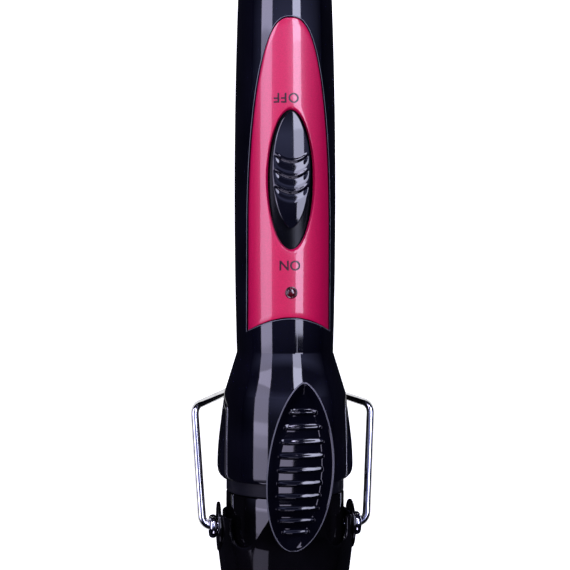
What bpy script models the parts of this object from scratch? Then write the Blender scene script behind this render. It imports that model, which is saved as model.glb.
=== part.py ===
"""Hair curling iron with a spring clamp, a fold-out wire stand and a swivel cord inlet.

Run with: blender --background --python part.py

The iron lies along Y. The barrel's tip points to -Y, the handle's rear to +Y, and +Z is up.
The origin is on the table, under the clamp's pivot, half way along the iron. Every part is
parented to an empty on the iron's long axis, so heights below are measured from that axis and
places along the iron are measured from the pivot.
"""

import math

import bmesh
import bpy
from mathutils import Matrix, Vector

MM = 0.001
GAP = 0.3 * MM

# Overall
HALF_LENGTH = 170.0 * MM
AXIS_HEIGHT = 19.25 * MM
ROUND_STEPS = 48
SMALL_STEPS = 16

# Handle and shoulder
HANDLE_RADIUS = 13.7 * MM
HANDLE_WAIST_Y = 90.0 * MM
HANDLE_CURVE = 0.34
HANDLE_WALL = 2.6 * MM
HANDLE_REAR_Y = 165.0 * MM
REAR_ROUNDING_Y = 152.0 * MM
REAR_OPENING_RADIUS = 5.4 * MM
NECK_Y = 46.9 * MM
FLARE_Y = 35.2 * MM
FLARE_RADIUS = 16.7 * MM
SHOULDER_FRONT_Y = 13.3 * MM
SHOULDER_RADIUS = 17.4 * MM
CHEEK_RADIUS = 18.35 * MM
CHEEK_TOP = 4.5 * MM
CHEEK_REAR_Y = 31.0 * MM
RING_POCKET_Y = 20.3 * MM

# Barrel, ring and tip
BARREL_RADIUS = 15.95 * MM
BARREL_WALL = 0.8 * MM
BARREL_REAR_Y = 9.6 * MM
BARREL_FRONT_Y = -144.0 * MM
RING_RADIUS = 15.9 * MM
RING_BORE = 12.0 * MM
TIP_RIM_RADIUS = 19.55 * MM
TIP_RIM_Y = -158.0 * MM
TIP_FLAT_WIDTH_LIMIT = 30.0 * MM

# Accent panel, switch and lamp
PANEL_APEX_Y = 134.9 * MM
PANEL_WIDE_Y = 80.0 * MM
PANEL_CORNER_Y = 53.0 * MM
PANEL_BULGE = 3.5 * MM
PANEL_HALF_WIDTH = 10.75 * MM
PANEL_FULLNESS = 0.76
PANEL_THICKNESS = 1.2 * MM
PANEL_RECESS = 1.5 * MM
SWITCH_WINDOW_Y = 92.55 * MM
SWITCH_WINDOW_SIZE = (5.95 * MM, 18.25 * MM)
SLIDER_Y = 95.0 * MM
SLIDER_SIZE = (4.95 * MM, 15.2 * MM, 2.1 * MM)
SLIDER_BASE = 12.5 * MM
SLIDER_TRAVEL = 4.9 * MM
STEM_SIZE = (3.0 * MM, 5.0 * MM)
STEM_FOOT = 8.3 * MM
LAMP_Y = 63.0 * MM
LAMP_RADIUS = 1.25 * MM

# Clamp, lever and pivot
CLAMP_INNER_RADIUS = 16.35 * MM
CLAMP_SHEET = 0.75 * MM
CLAMP_FRONT_Y = -137.0 * MM
CLAMP_REAR_Y = 0.0 * MM
CLAMP_FLARE_RADIUS = 17.65 * MM
CLAMP_FLARE_START_Y = -30.0 * MM
CLAMP_FLARE_END_Y = -9.0 * MM
CLAMP_HALF_ANGLE = math.radians(62.0)
EAR_RADIUS = 6.5 * MM
NECK_HALF_WIDTH = 6.0 * MM
SLOT_Y = -3.4 * MM
SLOT_X = (11.5 * MM, 17.2 * MM)
# The sheet stops short of the pivot under the neck, so that it clears the barrel as it opens
TONGUE_REAR_Y = -1.0 * MM
NECK_FRONT_Y = -1.6 * MM
PIVOT_HOLE_RADIUS = 2.2 * MM
LEVER_ARC_RADIUS = 98.8 * MM
LEVER_ARC_CENTRE = (58.6 * MM, -58.8 * MM)
LEVER_THICKNESS = 1.6 * MM
LEVER_CENTRE_Y = 19.0 * MM
LEVER_HALF_SIZE = (8.4 * MM, 22.6 * MM)
NECK_END_Y = 31.0 * MM
LEVER_SCREW_Y = (15.5 * MM, 26.5 * MM)
BRACKET_INNER = 16.3 * MM
BRACKET_SHEET = 0.7 * MM
BRACKET_LUG_TOP = 3.4 * MM
BRACKET_WIDTH = 8.0 * MM
EYELET_SHANK_RADIUS = 1.9 * MM
EYELET_BORE_RADIUS = 1.5 * MM
EYELET_HEAD_RADIUS = 3.0 * MM
EYELET_INNER_X = 16.35 * MM
EYELET_HEAD_X = (18.75 * MM, 20.7 * MM)

# Wire stand: its arms lie beside the iron, and its cross bar drops under it to the table
WIRE_RADIUS = 1.15 * MM
STAND_END_X = 17.1 * MM
STAND_ARM_X = (22.4 * MM, 24.6 * MM)
STAND_CORNER = (31.9 * MM, -4.0 * MM)
STAND_BAR = (35.6 * MM, WIRE_RADIUS - AXIS_HEIGHT)
STAND_BAR_HALF = 12.0 * MM
STAND_BEND = 3.0 * MM

# Heater
HEATER_Y = (-112.0 * MM, -18.0 * MM)
HEATER_RADIUS = 14.8 * MM
HEATER_FLAT = 2.2 * MM

# Housing screws: place along the iron and height of the head's seat
HOUSING_SCREWS = {
    "housing_screw_front": (27.0 * MM, -13.6 * MM),
    "housing_screw_middle": (119.0 * MM, -9.6 * MM),
    "housing_screw_rear": (138.0 * MM, -9.6 * MM),
}

GLOSS_BLACK = ((0.012, 0.012, 0.018, 1.0), 0.12, 0.0)
MATTE_BLACK = ((0.02, 0.02, 0.024, 1.0), 0.45, 0.0)
RING_GREY = ((0.045, 0.045, 0.055, 1.0), 0.5, 0.0)
PEARL_PINK = ((0.62, 0.04, 0.14, 1.0), 0.22, 0.25)
CHROME = ((0.8, 0.8, 0.82, 1.0), 0.08, 1.0)
ALUMINIUM = ((0.75, 0.76, 0.78, 1.0), 0.35, 1.0)
STEEL = ((0.55, 0.55, 0.57, 1.0), 0.3, 1.0)
BRASS = ((0.75, 0.55, 0.22, 1.0), 0.3, 1.0)
CERAMIC = ((0.85, 0.83, 0.78, 1.0), 0.6, 0.0)
BOARD_GREEN = ((0.03, 0.2, 0.08, 1.0), 0.5, 0.0)
LAMP_RED = ((0.4, 0.02, 0.02, 1.0), 0.15, 0.0)
INSULATION = ((0.6, 0.6, 0.58, 1.0), 0.6, 0.0)


def clear_scene():
    for item in list(bpy.data.objects):
        bpy.data.objects.remove(item, do_unlink=True)


def make_collection(name):
    collection = bpy.data.collections.new(name)
    bpy.context.scene.collection.children.link(collection)
    return collection


def make_material(name, finish):
    colour, roughness, metallic = finish
    material = bpy.data.materials.new(name)
    material.use_nodes = True
    shader = material.node_tree.nodes["Principled BSDF"]
    shader.inputs["Base Color"].default_value = colour
    shader.inputs["Roughness"].default_value = roughness
    shader.inputs["Metallic"].default_value = metallic
    return material


class Builder:
    """Places meshes on the iron's axis and keeps parts and cutters apart."""

    def __init__(self):
        self.parts = make_collection("curling_iron")
        self.cutters = make_collection("curling_iron_cutters")
        self.axis = bpy.data.objects.new("iron_axis", None)
        self.axis.location = (0.0, 0.0, AXIS_HEIGHT)
        self.parts.objects.link(self.axis)

    def place(self, name, mesh, finish=None):
        """Add a mesh as a part, or as a cutter where it has no finish."""
        item = bpy.data.objects.new(name, mesh)
        item.parent = self.axis
        if finish is None:
            self.cutters.objects.link(item)
            item.hide_render = True
            item.display_type = "WIRE"
        else:
            self.parts.objects.link(item)
            mesh.materials.append(make_material(name + "_finish", finish))
        return item

    def turned(self, name, profile, finish=None, closed=True, steps=ROUND_STEPS):
        """Turn a (radius, y) profile, which runs from rear to front on its outer side, about Y."""
        mesh = bpy.data.meshes.new(name)
        count = len(profile)
        edges = [(i, i + 1) for i in range(count - 1)]
        if closed:
            edges.append((count - 1, 0))
        mesh.from_pydata([(radius, y, 0.0) for radius, y in profile], edges, [])
        item = self.place(name, mesh, finish)
        screw = item.modifiers.new("turn", "SCREW")
        screw.axis = "Y"
        screw.steps = steps
        screw.render_steps = steps
        screw.use_merge_vertices = True
        screw.merge_threshold = 0.00001
        screw.use_smooth_shade = True
        return item

    def extruded(self, name, outline, thickness, plane, centre, finish=None):
        """Extrude a flat outline, given in XY, YZ or XZ, by a thickness about a centre."""
        curve = bpy.data.curves.new(name, "CURVE")
        curve.dimensions = "2D"
        curve.fill_mode = "BOTH"
        curve.extrude = thickness / 2
        spline = curve.splines.new("POLY")
        spline.points.add(len(outline) - 1)
        for point, (across, along) in zip(spline.points, outline):
            point.co = (across, along, 0.0, 1.0)
        spline.use_cyclic_u = True
        turns = {
            "XY": Matrix.Identity(4),
            "XZ": Matrix.Rotation(math.pi / 2, 4, "X"),
            "YZ": Matrix.Rotation(math.pi / 2, 4, "Z") @ Matrix.Rotation(math.pi / 2, 4, "X"),
        }
        return self.from_curve(name, curve, Matrix.Translation(centre) @ turns[plane], finish)

    def from_curve(self, name, curve, matrix, finish):
        """Turn a curve into a welded mesh that booleans can use."""
        guide = bpy.data.objects.new(name + "_guide", curve)
        self.cutters.objects.link(guide)
        bpy.context.view_layer.update()
        evaluated = guide.evaluated_get(bpy.context.evaluated_depsgraph_get())
        mesh = bpy.data.meshes.new_from_object(evaluated)
        mesh.name = name
        bpy.data.objects.remove(guide, do_unlink=True)
        work = bmesh.new()
        work.from_mesh(mesh)
        bmesh.ops.remove_doubles(work, verts=work.verts, dist=0.00001)
        bmesh.ops.transform(work, matrix=matrix, verts=work.verts)
        bmesh.ops.recalc_face_normals(work, faces=work.faces)
        work.to_mesh(mesh)
        work.free()
        return self.place(name, mesh, finish)

    def block(self, name, low, high, finish=None):
        """A box between two corners."""
        low, high = Vector(low), Vector(high)
        mesh = bpy.data.meshes.new(name)
        work = bmesh.new()
        bmesh.ops.create_cube(work, size=1.0)
        bmesh.ops.scale(work, vec=high - low, verts=work.verts)
        bmesh.ops.translate(work, vec=(low + high) / 2, verts=work.verts)
        work.to_mesh(mesh)
        work.free()
        return self.place(name, mesh, finish)

    def pin(self, name, start, end, radius, finish=None, steps=SMALL_STEPS):
        """A straight round bar from one point to another."""
        start, end = Vector(start), Vector(end)
        mesh = bpy.data.meshes.new(name)
        work = bmesh.new()
        bmesh.ops.create_cone(work, cap_ends=True, segments=steps, radius1=radius, radius2=radius,
                              depth=(end - start).length)
        turn = (end - start).to_track_quat("Z", "Y").to_matrix().to_4x4()
        bmesh.ops.transform(work, matrix=Matrix.Translation((start + end) / 2) @ turn, verts=work.verts)
        work.to_mesh(mesh)
        work.free()
        return self.place(name, mesh, finish)

    def wire(self, name, points, radius, finish):
        """A bent wire through points, with flat ends."""
        curve = bpy.data.curves.new(name, "CURVE")
        curve.dimensions = "3D"
        curve.bevel_depth = radius
        curve.bevel_resolution = 2
        curve.use_fill_caps = True
        spline = curve.splines.new("POLY")
        spline.points.add(len(points) - 1)
        for point, place in zip(spline.points, points):
            point.co = (*place, 1.0)
        return self.from_curve(name, curve, Matrix.Identity(4), finish)


def combine(item, other, operation):
    """Cut, keep or join a shape with another."""
    modifier = item.modifiers.new(operation.lower() + "_" + other.name, "BOOLEAN")
    modifier.operation = operation
    modifier.object = other


def cut(item, *others):
    for other in others:
        combine(item, other, "DIFFERENCE")


def join(item, *others):
    for other in others:
        combine(item, other, "UNION")


def ellipse(centre, size, steps=32, grow=0.0):
    """Points of an ellipse with half sizes, grown by a margin."""
    turns = [2 * math.pi * i / steps for i in range(steps)]
    return [(centre[0] + (size[0] + grow) * math.cos(turn), centre[1] + (size[1] + grow) * math.sin(turn))
            for turn in turns]


def arc(centre, radius, start, end, steps):
    """Points on a circle between two angles."""
    angles = [start + (end - start) * i / steps for i in range(steps + 1)]
    return [(centre[0] + radius * math.cos(angle), centre[1] + radius * math.sin(angle)) for angle in angles]


def bend_corners(points, radius, steps=4):
    """Round the inner corners of a path of 3-D points."""
    path = [Vector(points[0])]
    for before, corner, after in zip(points, points[1:], points[2:]):
        corner = Vector(corner)
        back = (Vector(before) - corner).normalized()
        ahead = (Vector(after) - corner).normalized()
        half = back.angle(ahead) / 2
        reach = radius / math.tan(half)
        centre = corner + (back + ahead).normalized() * radius / math.sin(half)
        first = corner + back * reach - centre
        last = corner + ahead * reach - centre
        path += [centre + radius * first.slerp(last, i / steps).normalized() for i in range(steps + 1)]
    path.append(Vector(points[-1]))
    return path


def smoothstep(value):
    value = min(max(value, 0.0), 1.0)
    return value * value * (3 - 2 * value)


def handle_radius(y):
    """The handle swells gently towards its middle."""
    return HANDLE_RADIUS - HANDLE_CURVE * (y - HANDLE_WAIST_Y) ** 2


def handle_profile(front_outer, sunk=0.0):
    """Closed profile of the handle wall, rear to front outside and back again inside."""
    rear_radius = handle_radius(REAR_ROUNDING_Y)
    points = [(REAR_OPENING_RADIUS, HANDLE_REAR_Y)]
    for degrees in (75, 60, 45, 30, 15, 0):
        turn = math.radians(degrees)
        points.append((REAR_OPENING_RADIUS + (rear_radius - REAR_OPENING_RADIUS) * math.cos(turn),
                       REAR_ROUNDING_Y + (HANDLE_REAR_Y - REAR_ROUNDING_Y) * math.sin(turn)))
    for place in (140, 128, 116, 104, 92, 80, 68, 56):
        points.append((handle_radius(place * MM), place * MM))
    points.append((handle_radius(NECK_Y), NECK_Y))
    points += front_outer
    pocket = RING_RADIUS + GAP
    points += [(pocket, SHOULDER_FRONT_Y), (pocket, RING_POCKET_Y), (14.6 * MM, RING_POCKET_Y),
               (14.4 * MM, 30.0 * MM), (14.0 * MM, FLARE_Y), (handle_radius(NECK_Y) - HANDLE_WALL, NECK_Y)]
    for place in (68, 90, 112, 134):
        points.append((handle_radius(place * MM) - HANDLE_WALL, place * MM))
    points += [(rear_radius - HANDLE_WALL, REAR_ROUNDING_Y), (8.3 * MM, 162.4 * MM),
               (REAR_OPENING_RADIUS, 162.4 * MM)]
    return points


def panel_outline(grow=0.0):
    """Bullet outline of the accent panel, seen from above."""
    width = PANEL_HALF_WIDTH + grow
    apex = PANEL_APEX_Y + grow
    right = []
    for i in range(11):
        turn = math.pi / 2 * i / 10
        right.append((width * max(math.cos(turn), 0.0) ** PANEL_FULLNESS,
                      PANEL_WIDE_Y + (apex - PANEL_WIDE_Y) * math.sin(turn)))
    left = [(-x, y) for x, y in reversed(right[:-1])]
    corner = PANEL_CORNER_Y - grow
    foot = [(width * (i / 5 - 1), corner + PANEL_BULGE * (1 - (i / 5 - 1) ** 2)) for i in range(11)]
    return right + left + foot


def split_outline(offset, far):
    """Side outline of all that lies beyond the seam between the handle's two shells."""
    return [(180 * MM, far), (180 * MM, offset), (CHEEK_REAR_Y + 2.5 * MM, offset),
            (CHEEK_REAR_Y, CHEEK_TOP + offset), (0.0, CHEEK_TOP + offset), (0.0, far)]


def lever_arc_point(radius, y):
    """Height of the lever's curve at a place along the iron."""
    return LEVER_ARC_CENTRE[1] + math.sqrt(radius ** 2 - (LEVER_ARC_CENTRE[0] - y) ** 2)


def curved_plate_outline(top_radius, thickness, start_y, end_y, steps=12):
    """Side outline of a plate that follows the lever's curve."""
    places = [start_y + (end_y - start_y) * i / steps for i in range(steps + 1)]
    top = [(y, lever_arc_point(top_radius, y)) for y in places]
    low = [(y, lever_arc_point(top_radius - thickness, y)) for y in reversed(places)]
    return top + low


def build_shells(make):
    """Upper and lower handle shells with their screw bosses, and the inlaid accent panel."""
    upper_front = [(FLARE_RADIUS, FLARE_Y), (17.0 * MM, 30 * MM), (17.3 * MM, 23 * MM),
                   (SHOULDER_RADIUS, 14.4 * MM), (SHOULDER_RADIUS - 0.5 * MM, SHOULDER_FRONT_Y)]
    lower_front = [(FLARE_RADIUS, FLARE_Y), (17.05 * MM, 30.5 * MM), (18.05 * MM, 23 * MM),
                   (CHEEK_RADIUS, 17 * MM), (CHEEK_RADIUS - 0.3 * MM, 14.7 * MM),
                   (CHEEK_RADIUS - 1.4 * MM, SHOULDER_FRONT_Y)]
    upper = make.turned("upper_handle_shell", handle_profile(upper_front), GLOSS_BLACK)
    lower = make.turned("lower_handle_shell", handle_profile(lower_front), GLOSS_BLACK)
    half_gap = GAP / 2
    cut(upper, make.extruded("below_seam", split_outline(half_gap, -30 * MM), 60 * MM, "YZ", (0, 0, 0)))
    cut(lower, make.extruded("above_seam", split_outline(-half_gap, 30 * MM), 60 * MM, "YZ", (0, 0, 0)))

    def bed_profile(depth):
        places = [140, 122, 104, 86, 68, 50]
        return [(handle_radius(y * MM) - depth, y * MM) for y in places]

    recess = make.extruded("panel_recess", panel_outline(GAP), 20 * MM, "XY", (0, 0, 12 * MM))
    bed = bed_profile(PANEL_RECESS)
    solid_bed = [(0.0, 140 * MM)] + bed + [(0.0, 50 * MM)]
    cut(recess, make.turned("panel_bed", solid_bed, closed=False))
    cut(upper, recess)

    skin = bed_profile(0.0)
    back = [(radius - PANEL_THICKNESS, y) for radius, y in reversed(skin)]
    panel = make.turned("accent_panel", skin + back, PEARL_PINK)
    outline = make.extruded("panel_outline", panel_outline(), 20 * MM, "XY", (0, 0, 12 * MM))
    combine(panel, outline, "INTERSECT")
    window = ellipse((0.0, SWITCH_WINDOW_Y), SWITCH_WINDOW_SIZE)
    cut(panel, make.extruded("switch_window", window, 10 * MM, "XY", (0, 0, 12 * MM)))
    lamp_hole = make.pin("lamp_hole", (0, LAMP_Y, 8 * MM), (0, LAMP_Y, 16 * MM), LAMP_RADIUS + GAP)
    cut(panel, lamp_hole)

    stem_y = SLIDER_Y - SLIDER_TRAVEL - STEM_SIZE[1] / 2 - 0.4 * MM
    slot = make.block("stem_slot", (-STEM_SIZE[0] / 2 - 0.4 * MM, stem_y, 5 * MM),
                      (STEM_SIZE[0] / 2 + 0.4 * MM, SLIDER_Y + STEM_SIZE[1] / 2 + 0.4 * MM, 16 * MM))
    cut(upper, slot, lamp_hole)

    for name, (y, seat) in HOUSING_SCREWS.items():
        wall = SHOULDER_RADIUS if y < FLARE_Y else handle_radius(y)
        inside = wall - HANDLE_WALL + 0.8 * MM
        boss_foot = seat + 3.4 * MM
        join(upper, make.pin(name + "_boss", (0, y, boss_foot), (0, y, inside), 3.0 * MM))
        cut(upper, make.pin(name + "_pilot", (0, y, boss_foot - MM), (0, y, 1.0 * MM), 1.5 * MM))
        join(lower, make.pin(name + "_cup", (0, y, -inside), (0, y, seat + 2.8 * MM), 4.2 * MM))
        cut(lower, make.pin(name + "_well", (0, y, -25 * MM), (0, y, seat), 3.0 * MM),
            make.pin(name + "_hole", (0, y, -25 * MM), (0, y, 0), 1.5 * MM))


def build_housing_screws(make):
    """Pan head screws, each in a well under the handle."""
    for name, (y, seat) in HOUSING_SCREWS.items():
        head = seat - GAP
        profile = [(0.0, 10.0 * MM), (1.2 * MM, 10.0 * MM), (1.2 * MM, 0.0), (2.6 * MM, 0.0),
                   (2.4 * MM, -1.4 * MM), (1.5 * MM, -1.9 * MM), (0.0, -1.9 * MM)]
        screw = make.turned(name, profile, STEEL, closed=False, steps=SMALL_STEPS)
        screw.location = (0.0, y, head)
        screw.rotation_euler = (math.pi / 2, 0.0, 0.0)


def build_switch(make):
    """Slide switch: the leaf-shaped knob with its stem, and the switch under it."""
    mesh = bpy.data.meshes.new("switch_slider")
    work = bmesh.new()
    bmesh.ops.create_uvsphere(work, u_segments=24, v_segments=12, radius=1.0)
    bmesh.ops.scale(work, vec=SLIDER_SIZE, verts=work.verts)
    bmesh.ops.translate(work, vec=(0, SLIDER_Y, SLIDER_BASE), verts=work.verts)
    work.to_mesh(mesh)
    work.free()
    slider = make.place("switch_slider", mesh, GLOSS_BLACK)
    cut(slider, make.block("under_slider", (-10 * MM, 60 * MM, 5 * MM), (10 * MM, 130 * MM, SLIDER_BASE)))
    join(slider, make.block("slider_stem",
                            (-STEM_SIZE[0] / 2, SLIDER_Y - STEM_SIZE[1] / 2, STEM_FOOT),
                            (STEM_SIZE[0] / 2, SLIDER_Y + STEM_SIZE[1] / 2, SLIDER_BASE + 0.8 * MM)))
    make.block("switch_body", (-4 * MM, 84 * MM, 2.6 * MM), (4 * MM, 103 * MM, STEM_FOOT - GAP), MATTE_BLACK)


def build_electronics(make):
    """Control board with the lamp and its resistor, and the light pipe above the lamp."""
    make.block("control_board", (-8.5 * MM, 56 * MM, 0.8 * MM), (8.5 * MM, 112 * MM, 2.2 * MM), BOARD_GREEN)
    make.pin("resistor", (5.5 * MM, 68 * MM, 3.7 * MM), (5.5 * MM, 75 * MM, 3.7 * MM), 1.1 * MM, CERAMIC, 12)
    make.pin("led", (0, LAMP_Y, 2.5 * MM), (0, LAMP_Y, 7.4 * MM), 1.5 * MM, LAMP_RED, 12)
    pipe = [(0.0, 13.1 * MM), (0.8 * MM, 12.95 * MM), (LAMP_RADIUS, 12.4 * MM), (LAMP_RADIUS, 10.2 * MM),
            (2.2 * MM, 10.2 * MM), (2.2 * MM, 9.2 * MM), (1.5 * MM, 7.8 * MM), (0.0, 7.8 * MM)]
    lens = make.turned("led_lens", pipe, LAMP_RED, closed=False, steps=SMALL_STEPS)
    lens.location = (0.0, LAMP_Y, 0.0)
    lens.rotation_euler = (math.pi / 2, 0.0, 0.0)


def build_barrel(make):
    """Heated tube, its insulating collar and the cool tip."""
    bore = BARREL_RADIUS - BARREL_WALL
    edge = 0.4 * MM
    make.turned("barrel_tube", [(BARREL_RADIUS - edge, BARREL_REAR_Y), (BARREL_RADIUS, BARREL_REAR_Y - edge),
                                (BARREL_RADIUS, BARREL_FRONT_Y + edge), (BARREL_RADIUS - edge, BARREL_FRONT_Y),
                                (bore, BARREL_FRONT_Y), (bore, BARREL_REAR_Y)], GLOSS_BLACK)
    ring_front = BARREL_REAR_Y + GAP
    spigot = bore - GAP
    make.turned("insulating_ring", [(RING_RADIUS, 20 * MM), (RING_RADIUS, ring_front), (spigot, ring_front),
                                    (spigot, 2 * MM), (RING_BORE, 2 * MM), (RING_BORE, 20 * MM)], RING_GREY)
    tip_rear = BARREL_FRONT_Y - GAP
    spigot_rear = BARREL_FRONT_Y + 8 * MM
    outside = [(spigot, spigot_rear), (spigot, tip_rear), (BARREL_RADIUS - edge, tip_rear),
               (BARREL_RADIUS, tip_rear - edge), (16.1 * MM, -150 * MM), (17.2 * MM, -153 * MM),
               (18.9 * MM, -155.2 * MM), (TIP_RIM_RADIUS, TIP_RIM_Y + 2 * MM),
               (TIP_RIM_RADIUS, TIP_RIM_Y - 2 * MM), (18.9 * MM, -161 * MM), (17.4 * MM, -165 * MM),
               (16.0 * MM, -168.4 * MM), (14.0 * MM, -HALF_LENGTH), (0.0, -HALF_LENGTH)]
    inside = [(0.0, -166 * MM), (12.6 * MM, -164 * MM), (12.6 * MM, spigot_rear)]
    tip = make.turned("cool_tip", outside + inside + [outside[0]], MATTE_BLACK, closed=False)
    cut(tip, make.block("tip_flat", (-TIP_FLAT_WIDTH_LIMIT, -172 * MM, -30 * MM),
                        (TIP_FLAT_WIDTH_LIMIT, -150 * MM, -AXIS_HEIGHT)))


def build_heater(make):
    """Heating element sandwiched between two heat spreaders, with its electrodes and leads."""
    lift = math.asin(HEATER_FLAT / HEATER_RADIUS)
    length = HEATER_Y[1] - HEATER_Y[0]
    centre = (0.0, (HEATER_Y[0] + HEATER_Y[1]) / 2, 0.0)
    for name, side in (("heater_block_upper", 1), ("heater_block_lower", -1)):
        outline = [(x, side * z) for x, z in arc((0, 0), HEATER_RADIUS, lift, math.pi - lift, 16)]
        make.extruded(name, outline, length, "XZ", centre, ALUMINIUM)
    make.block("ptc_heater", (-6 * MM, -96 * MM, -1.2 * MM), (6 * MM, -34 * MM, 1.2 * MM), CERAMIC)
    for name, side in (("electrode_live", 1), ("electrode_neutral", -1)):
        heights = sorted((side * 1.5 * MM, side * 1.9 * MM))
        make.block(name, (-6.5 * MM, -98 * MM, heights[0]), (6.5 * MM, -12 * MM, heights[1]), BRASS)
    for name, side in (("heater_lead_live", 1), ("heater_lead_neutral", -1)):
        route = [(side * 3 * MM, -11.2 * MM, side * 1.7 * MM), (side * 6 * MM, 4 * MM, side * 3 * MM),
                 (side * 7 * MM, 30 * MM, 2 * MM), (side * 5 * MM, 46 * MM, 1.5 * MM),
                 (side * 5 * MM, 55.4 * MM, 1.5 * MM)]
        make.wire(name, bend_corners(route, 8 * MM, 3), 0.7 * MM, INSULATION)


def clamp_point(across, along):
    """A point of the clamp sheet's inner face, from -1..1 across and 0..1 along."""
    y = CLAMP_FRONT_Y + (CLAMP_REAR_Y - CLAMP_FRONT_Y) * along
    open_up = smoothstep((y - CLAMP_FLARE_START_Y * 2) / (CLAMP_FLARE_END_Y - CLAMP_FLARE_START_Y * 2))
    round_nose = math.sqrt(max(0.0, 1 - max(0.0, 1 - (y - CLAMP_FRONT_Y) / (9 * MM)) ** 2))
    half_angle = CLAMP_HALF_ANGLE + (math.pi / 2 - CLAMP_HALF_ANGLE) * open_up
    half_angle *= 0.6 + 0.4 * round_nose
    angle = across * half_angle
    flare = smoothstep((y - CLAMP_FLARE_START_Y) / (CLAMP_FLARE_END_Y - CLAMP_FLARE_START_Y))
    side = smoothstep((abs(angle) - math.radians(35)) / math.radians(35))
    radius = CLAMP_INNER_RADIUS + (CLAMP_FLARE_RADIUS - CLAMP_INNER_RADIUS) * flare * side
    return Vector((radius * math.sin(angle), y, radius * math.cos(angle)))


def build_clamp(make):
    """Spring clamp: a curved sheet with two ears at the pivot and a neck up to the lever."""
    mesh = bpy.data.meshes.new("clamp")
    work = bmesh.new()
    bmesh.ops.create_grid(work, x_segments=16, y_segments=24, size=1.0)
    for vert in work.verts:
        along = (vert.co.y + 1) / 2
        vert.co = clamp_point(vert.co.x, along ** 1.3)
    work.to_mesh(mesh)
    work.free()
    clamp = make.place("clamp", mesh, GLOSS_BLACK)
    thicken = clamp.modifiers.new("thicken", "SOLIDIFY")
    thicken.thickness = CLAMP_SHEET
    thicken.offset = 1.0
    for side in (-1, 1):
        inner = side * CLAMP_FLARE_RADIUS
        outer = side * (CLAMP_FLARE_RADIUS + CLAMP_SHEET)
        tag = "left" if side < 0 else "right"
        join(clamp, make.pin("ear_" + tag, (inner, 0, 0), (outer, 0, 0), EAR_RADIUS, steps=32))
        low, high = sorted((side * SLOT_X[0], side * SLOT_X[1]))
        cut(clamp, make.block("neck_slot_" + tag, (low, SLOT_Y, 2 * MM), (high, 12 * MM, 30 * MM)))
        cut(clamp, make.pin("ear_hole_" + tag, (side * 14 * MM, 0, 0), (side * 25 * MM, 0, 0),
                            PIVOT_HOLE_RADIUS, steps=24))
    cut(clamp, make.block("tongue_end", (-SLOT_X[0] - MM, TONGUE_REAR_Y, 2 * MM),
                          (SLOT_X[0] + MM, 12 * MM, 30 * MM)))
    neck_top = LEVER_ARC_RADIUS - LEVER_THICKNESS - GAP
    neck = curved_plate_outline(neck_top, CLAMP_SHEET, NECK_FRONT_Y, NECK_END_Y)
    join(clamp, make.extruded("neck", neck, 2 * NECK_HALF_WIDTH, "YZ", (0, 0, 0)))
    for i, (foot, top) in enumerate(lever_screw_lines()):
        cut(clamp, make.pin(f"neck_hole_{i}", foot, top, 1.3 * MM))


def lever_screw_lines():
    """The two lever screws' lines, square to the lever's curve."""
    lines = []
    for y in LEVER_SCREW_Y:
        under = LEVER_ARC_RADIUS - LEVER_THICKNESS - GAP - CLAMP_SHEET
        seat = Vector((0.0, y, lever_arc_point(under, y)))
        out = (seat - Vector((0.0, *LEVER_ARC_CENTRE))).normalized()
        lines.append((seat - out * 2 * MM, seat + out * 2.2 * MM))
    return lines


def build_lever(make):
    """Thumb lever on the clamp's neck, with the screws that hold it from below."""
    front = LEVER_CENTRE_Y - LEVER_HALF_SIZE[1]
    rear = LEVER_CENTRE_Y + LEVER_HALF_SIZE[1]
    side = curved_plate_outline(LEVER_ARC_RADIUS, LEVER_THICKNESS, front - MM, rear + MM, 14)
    lever = make.extruded("thumb_lever", side, 24 * MM, "YZ", (0, 0, 0), GLOSS_BLACK)
    outline = ellipse((0.0, LEVER_CENTRE_Y), LEVER_HALF_SIZE, 36)
    combine(lever, make.extruded("lever_outline", outline, 60 * MM, "XY", (0, 0, 30 * MM)), "INTERSECT")
    clear = CLAMP_INNER_RADIUS + CLAMP_SHEET + GAP
    cut(lever, make.pin("lever_clearance", (0, -40 * MM, 0), (0, 12 * MM, 0), clear, steps=ROUND_STEPS))
    for i, (foot, top) in enumerate(lever_screw_lines()):
        cut(lever, make.pin(f"lever_hole_{i}", foot, top, 1.2 * MM))
        name = ("lever_screw_front", "lever_screw_rear")[i]
        along = (top - foot).normalized()
        shank_top = top - along * 0.35 * MM
        head_top = foot + along * (2 * MM - GAP)
        screw = make.pin(name, head_top - along * 0.2 * MM, shank_top, 0.9 * MM, STEEL)
        head_foot = head_top - along * 1.0 * MM
        join(screw, make.pin(name + "_head", head_foot, head_top, 1.9 * MM))


def build_clamp_spring(make):
    """Leaf spring bent to a V between the barrel and the clamp's neck."""
    leaf = 0.5 * MM
    neck_under = LEVER_ARC_RADIUS - LEVER_THICKNESS - GAP - CLAMP_SHEET
    lower = 16.4 * MM
    bend = 2.2 * MM
    upper_top = [(y * MM, lever_arc_point(neck_under - GAP, y * MM)) for y in (10, 7.5, 5, 3.5)]
    upper_low = [(y * MM, lever_arc_point(neck_under - GAP - leaf, y * MM)) for y in (4, 5.2, 7.5, 10)]
    outline = upper_top + [(bend, lower + 1.6 * MM), (bend - 0.4 * MM, lower + 0.6 * MM), (bend, lower),
                           (12.6 * MM, lower), (12.6 * MM, lower + leaf), (bend + 0.6 * MM, lower + leaf),
                           (bend + 0.4 * MM, lower + 1.0 * MM)] + upper_low
    make.extruded("clamp_spring", outline, 6 * MM, "YZ", (0, 0, 0), STEEL)


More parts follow.
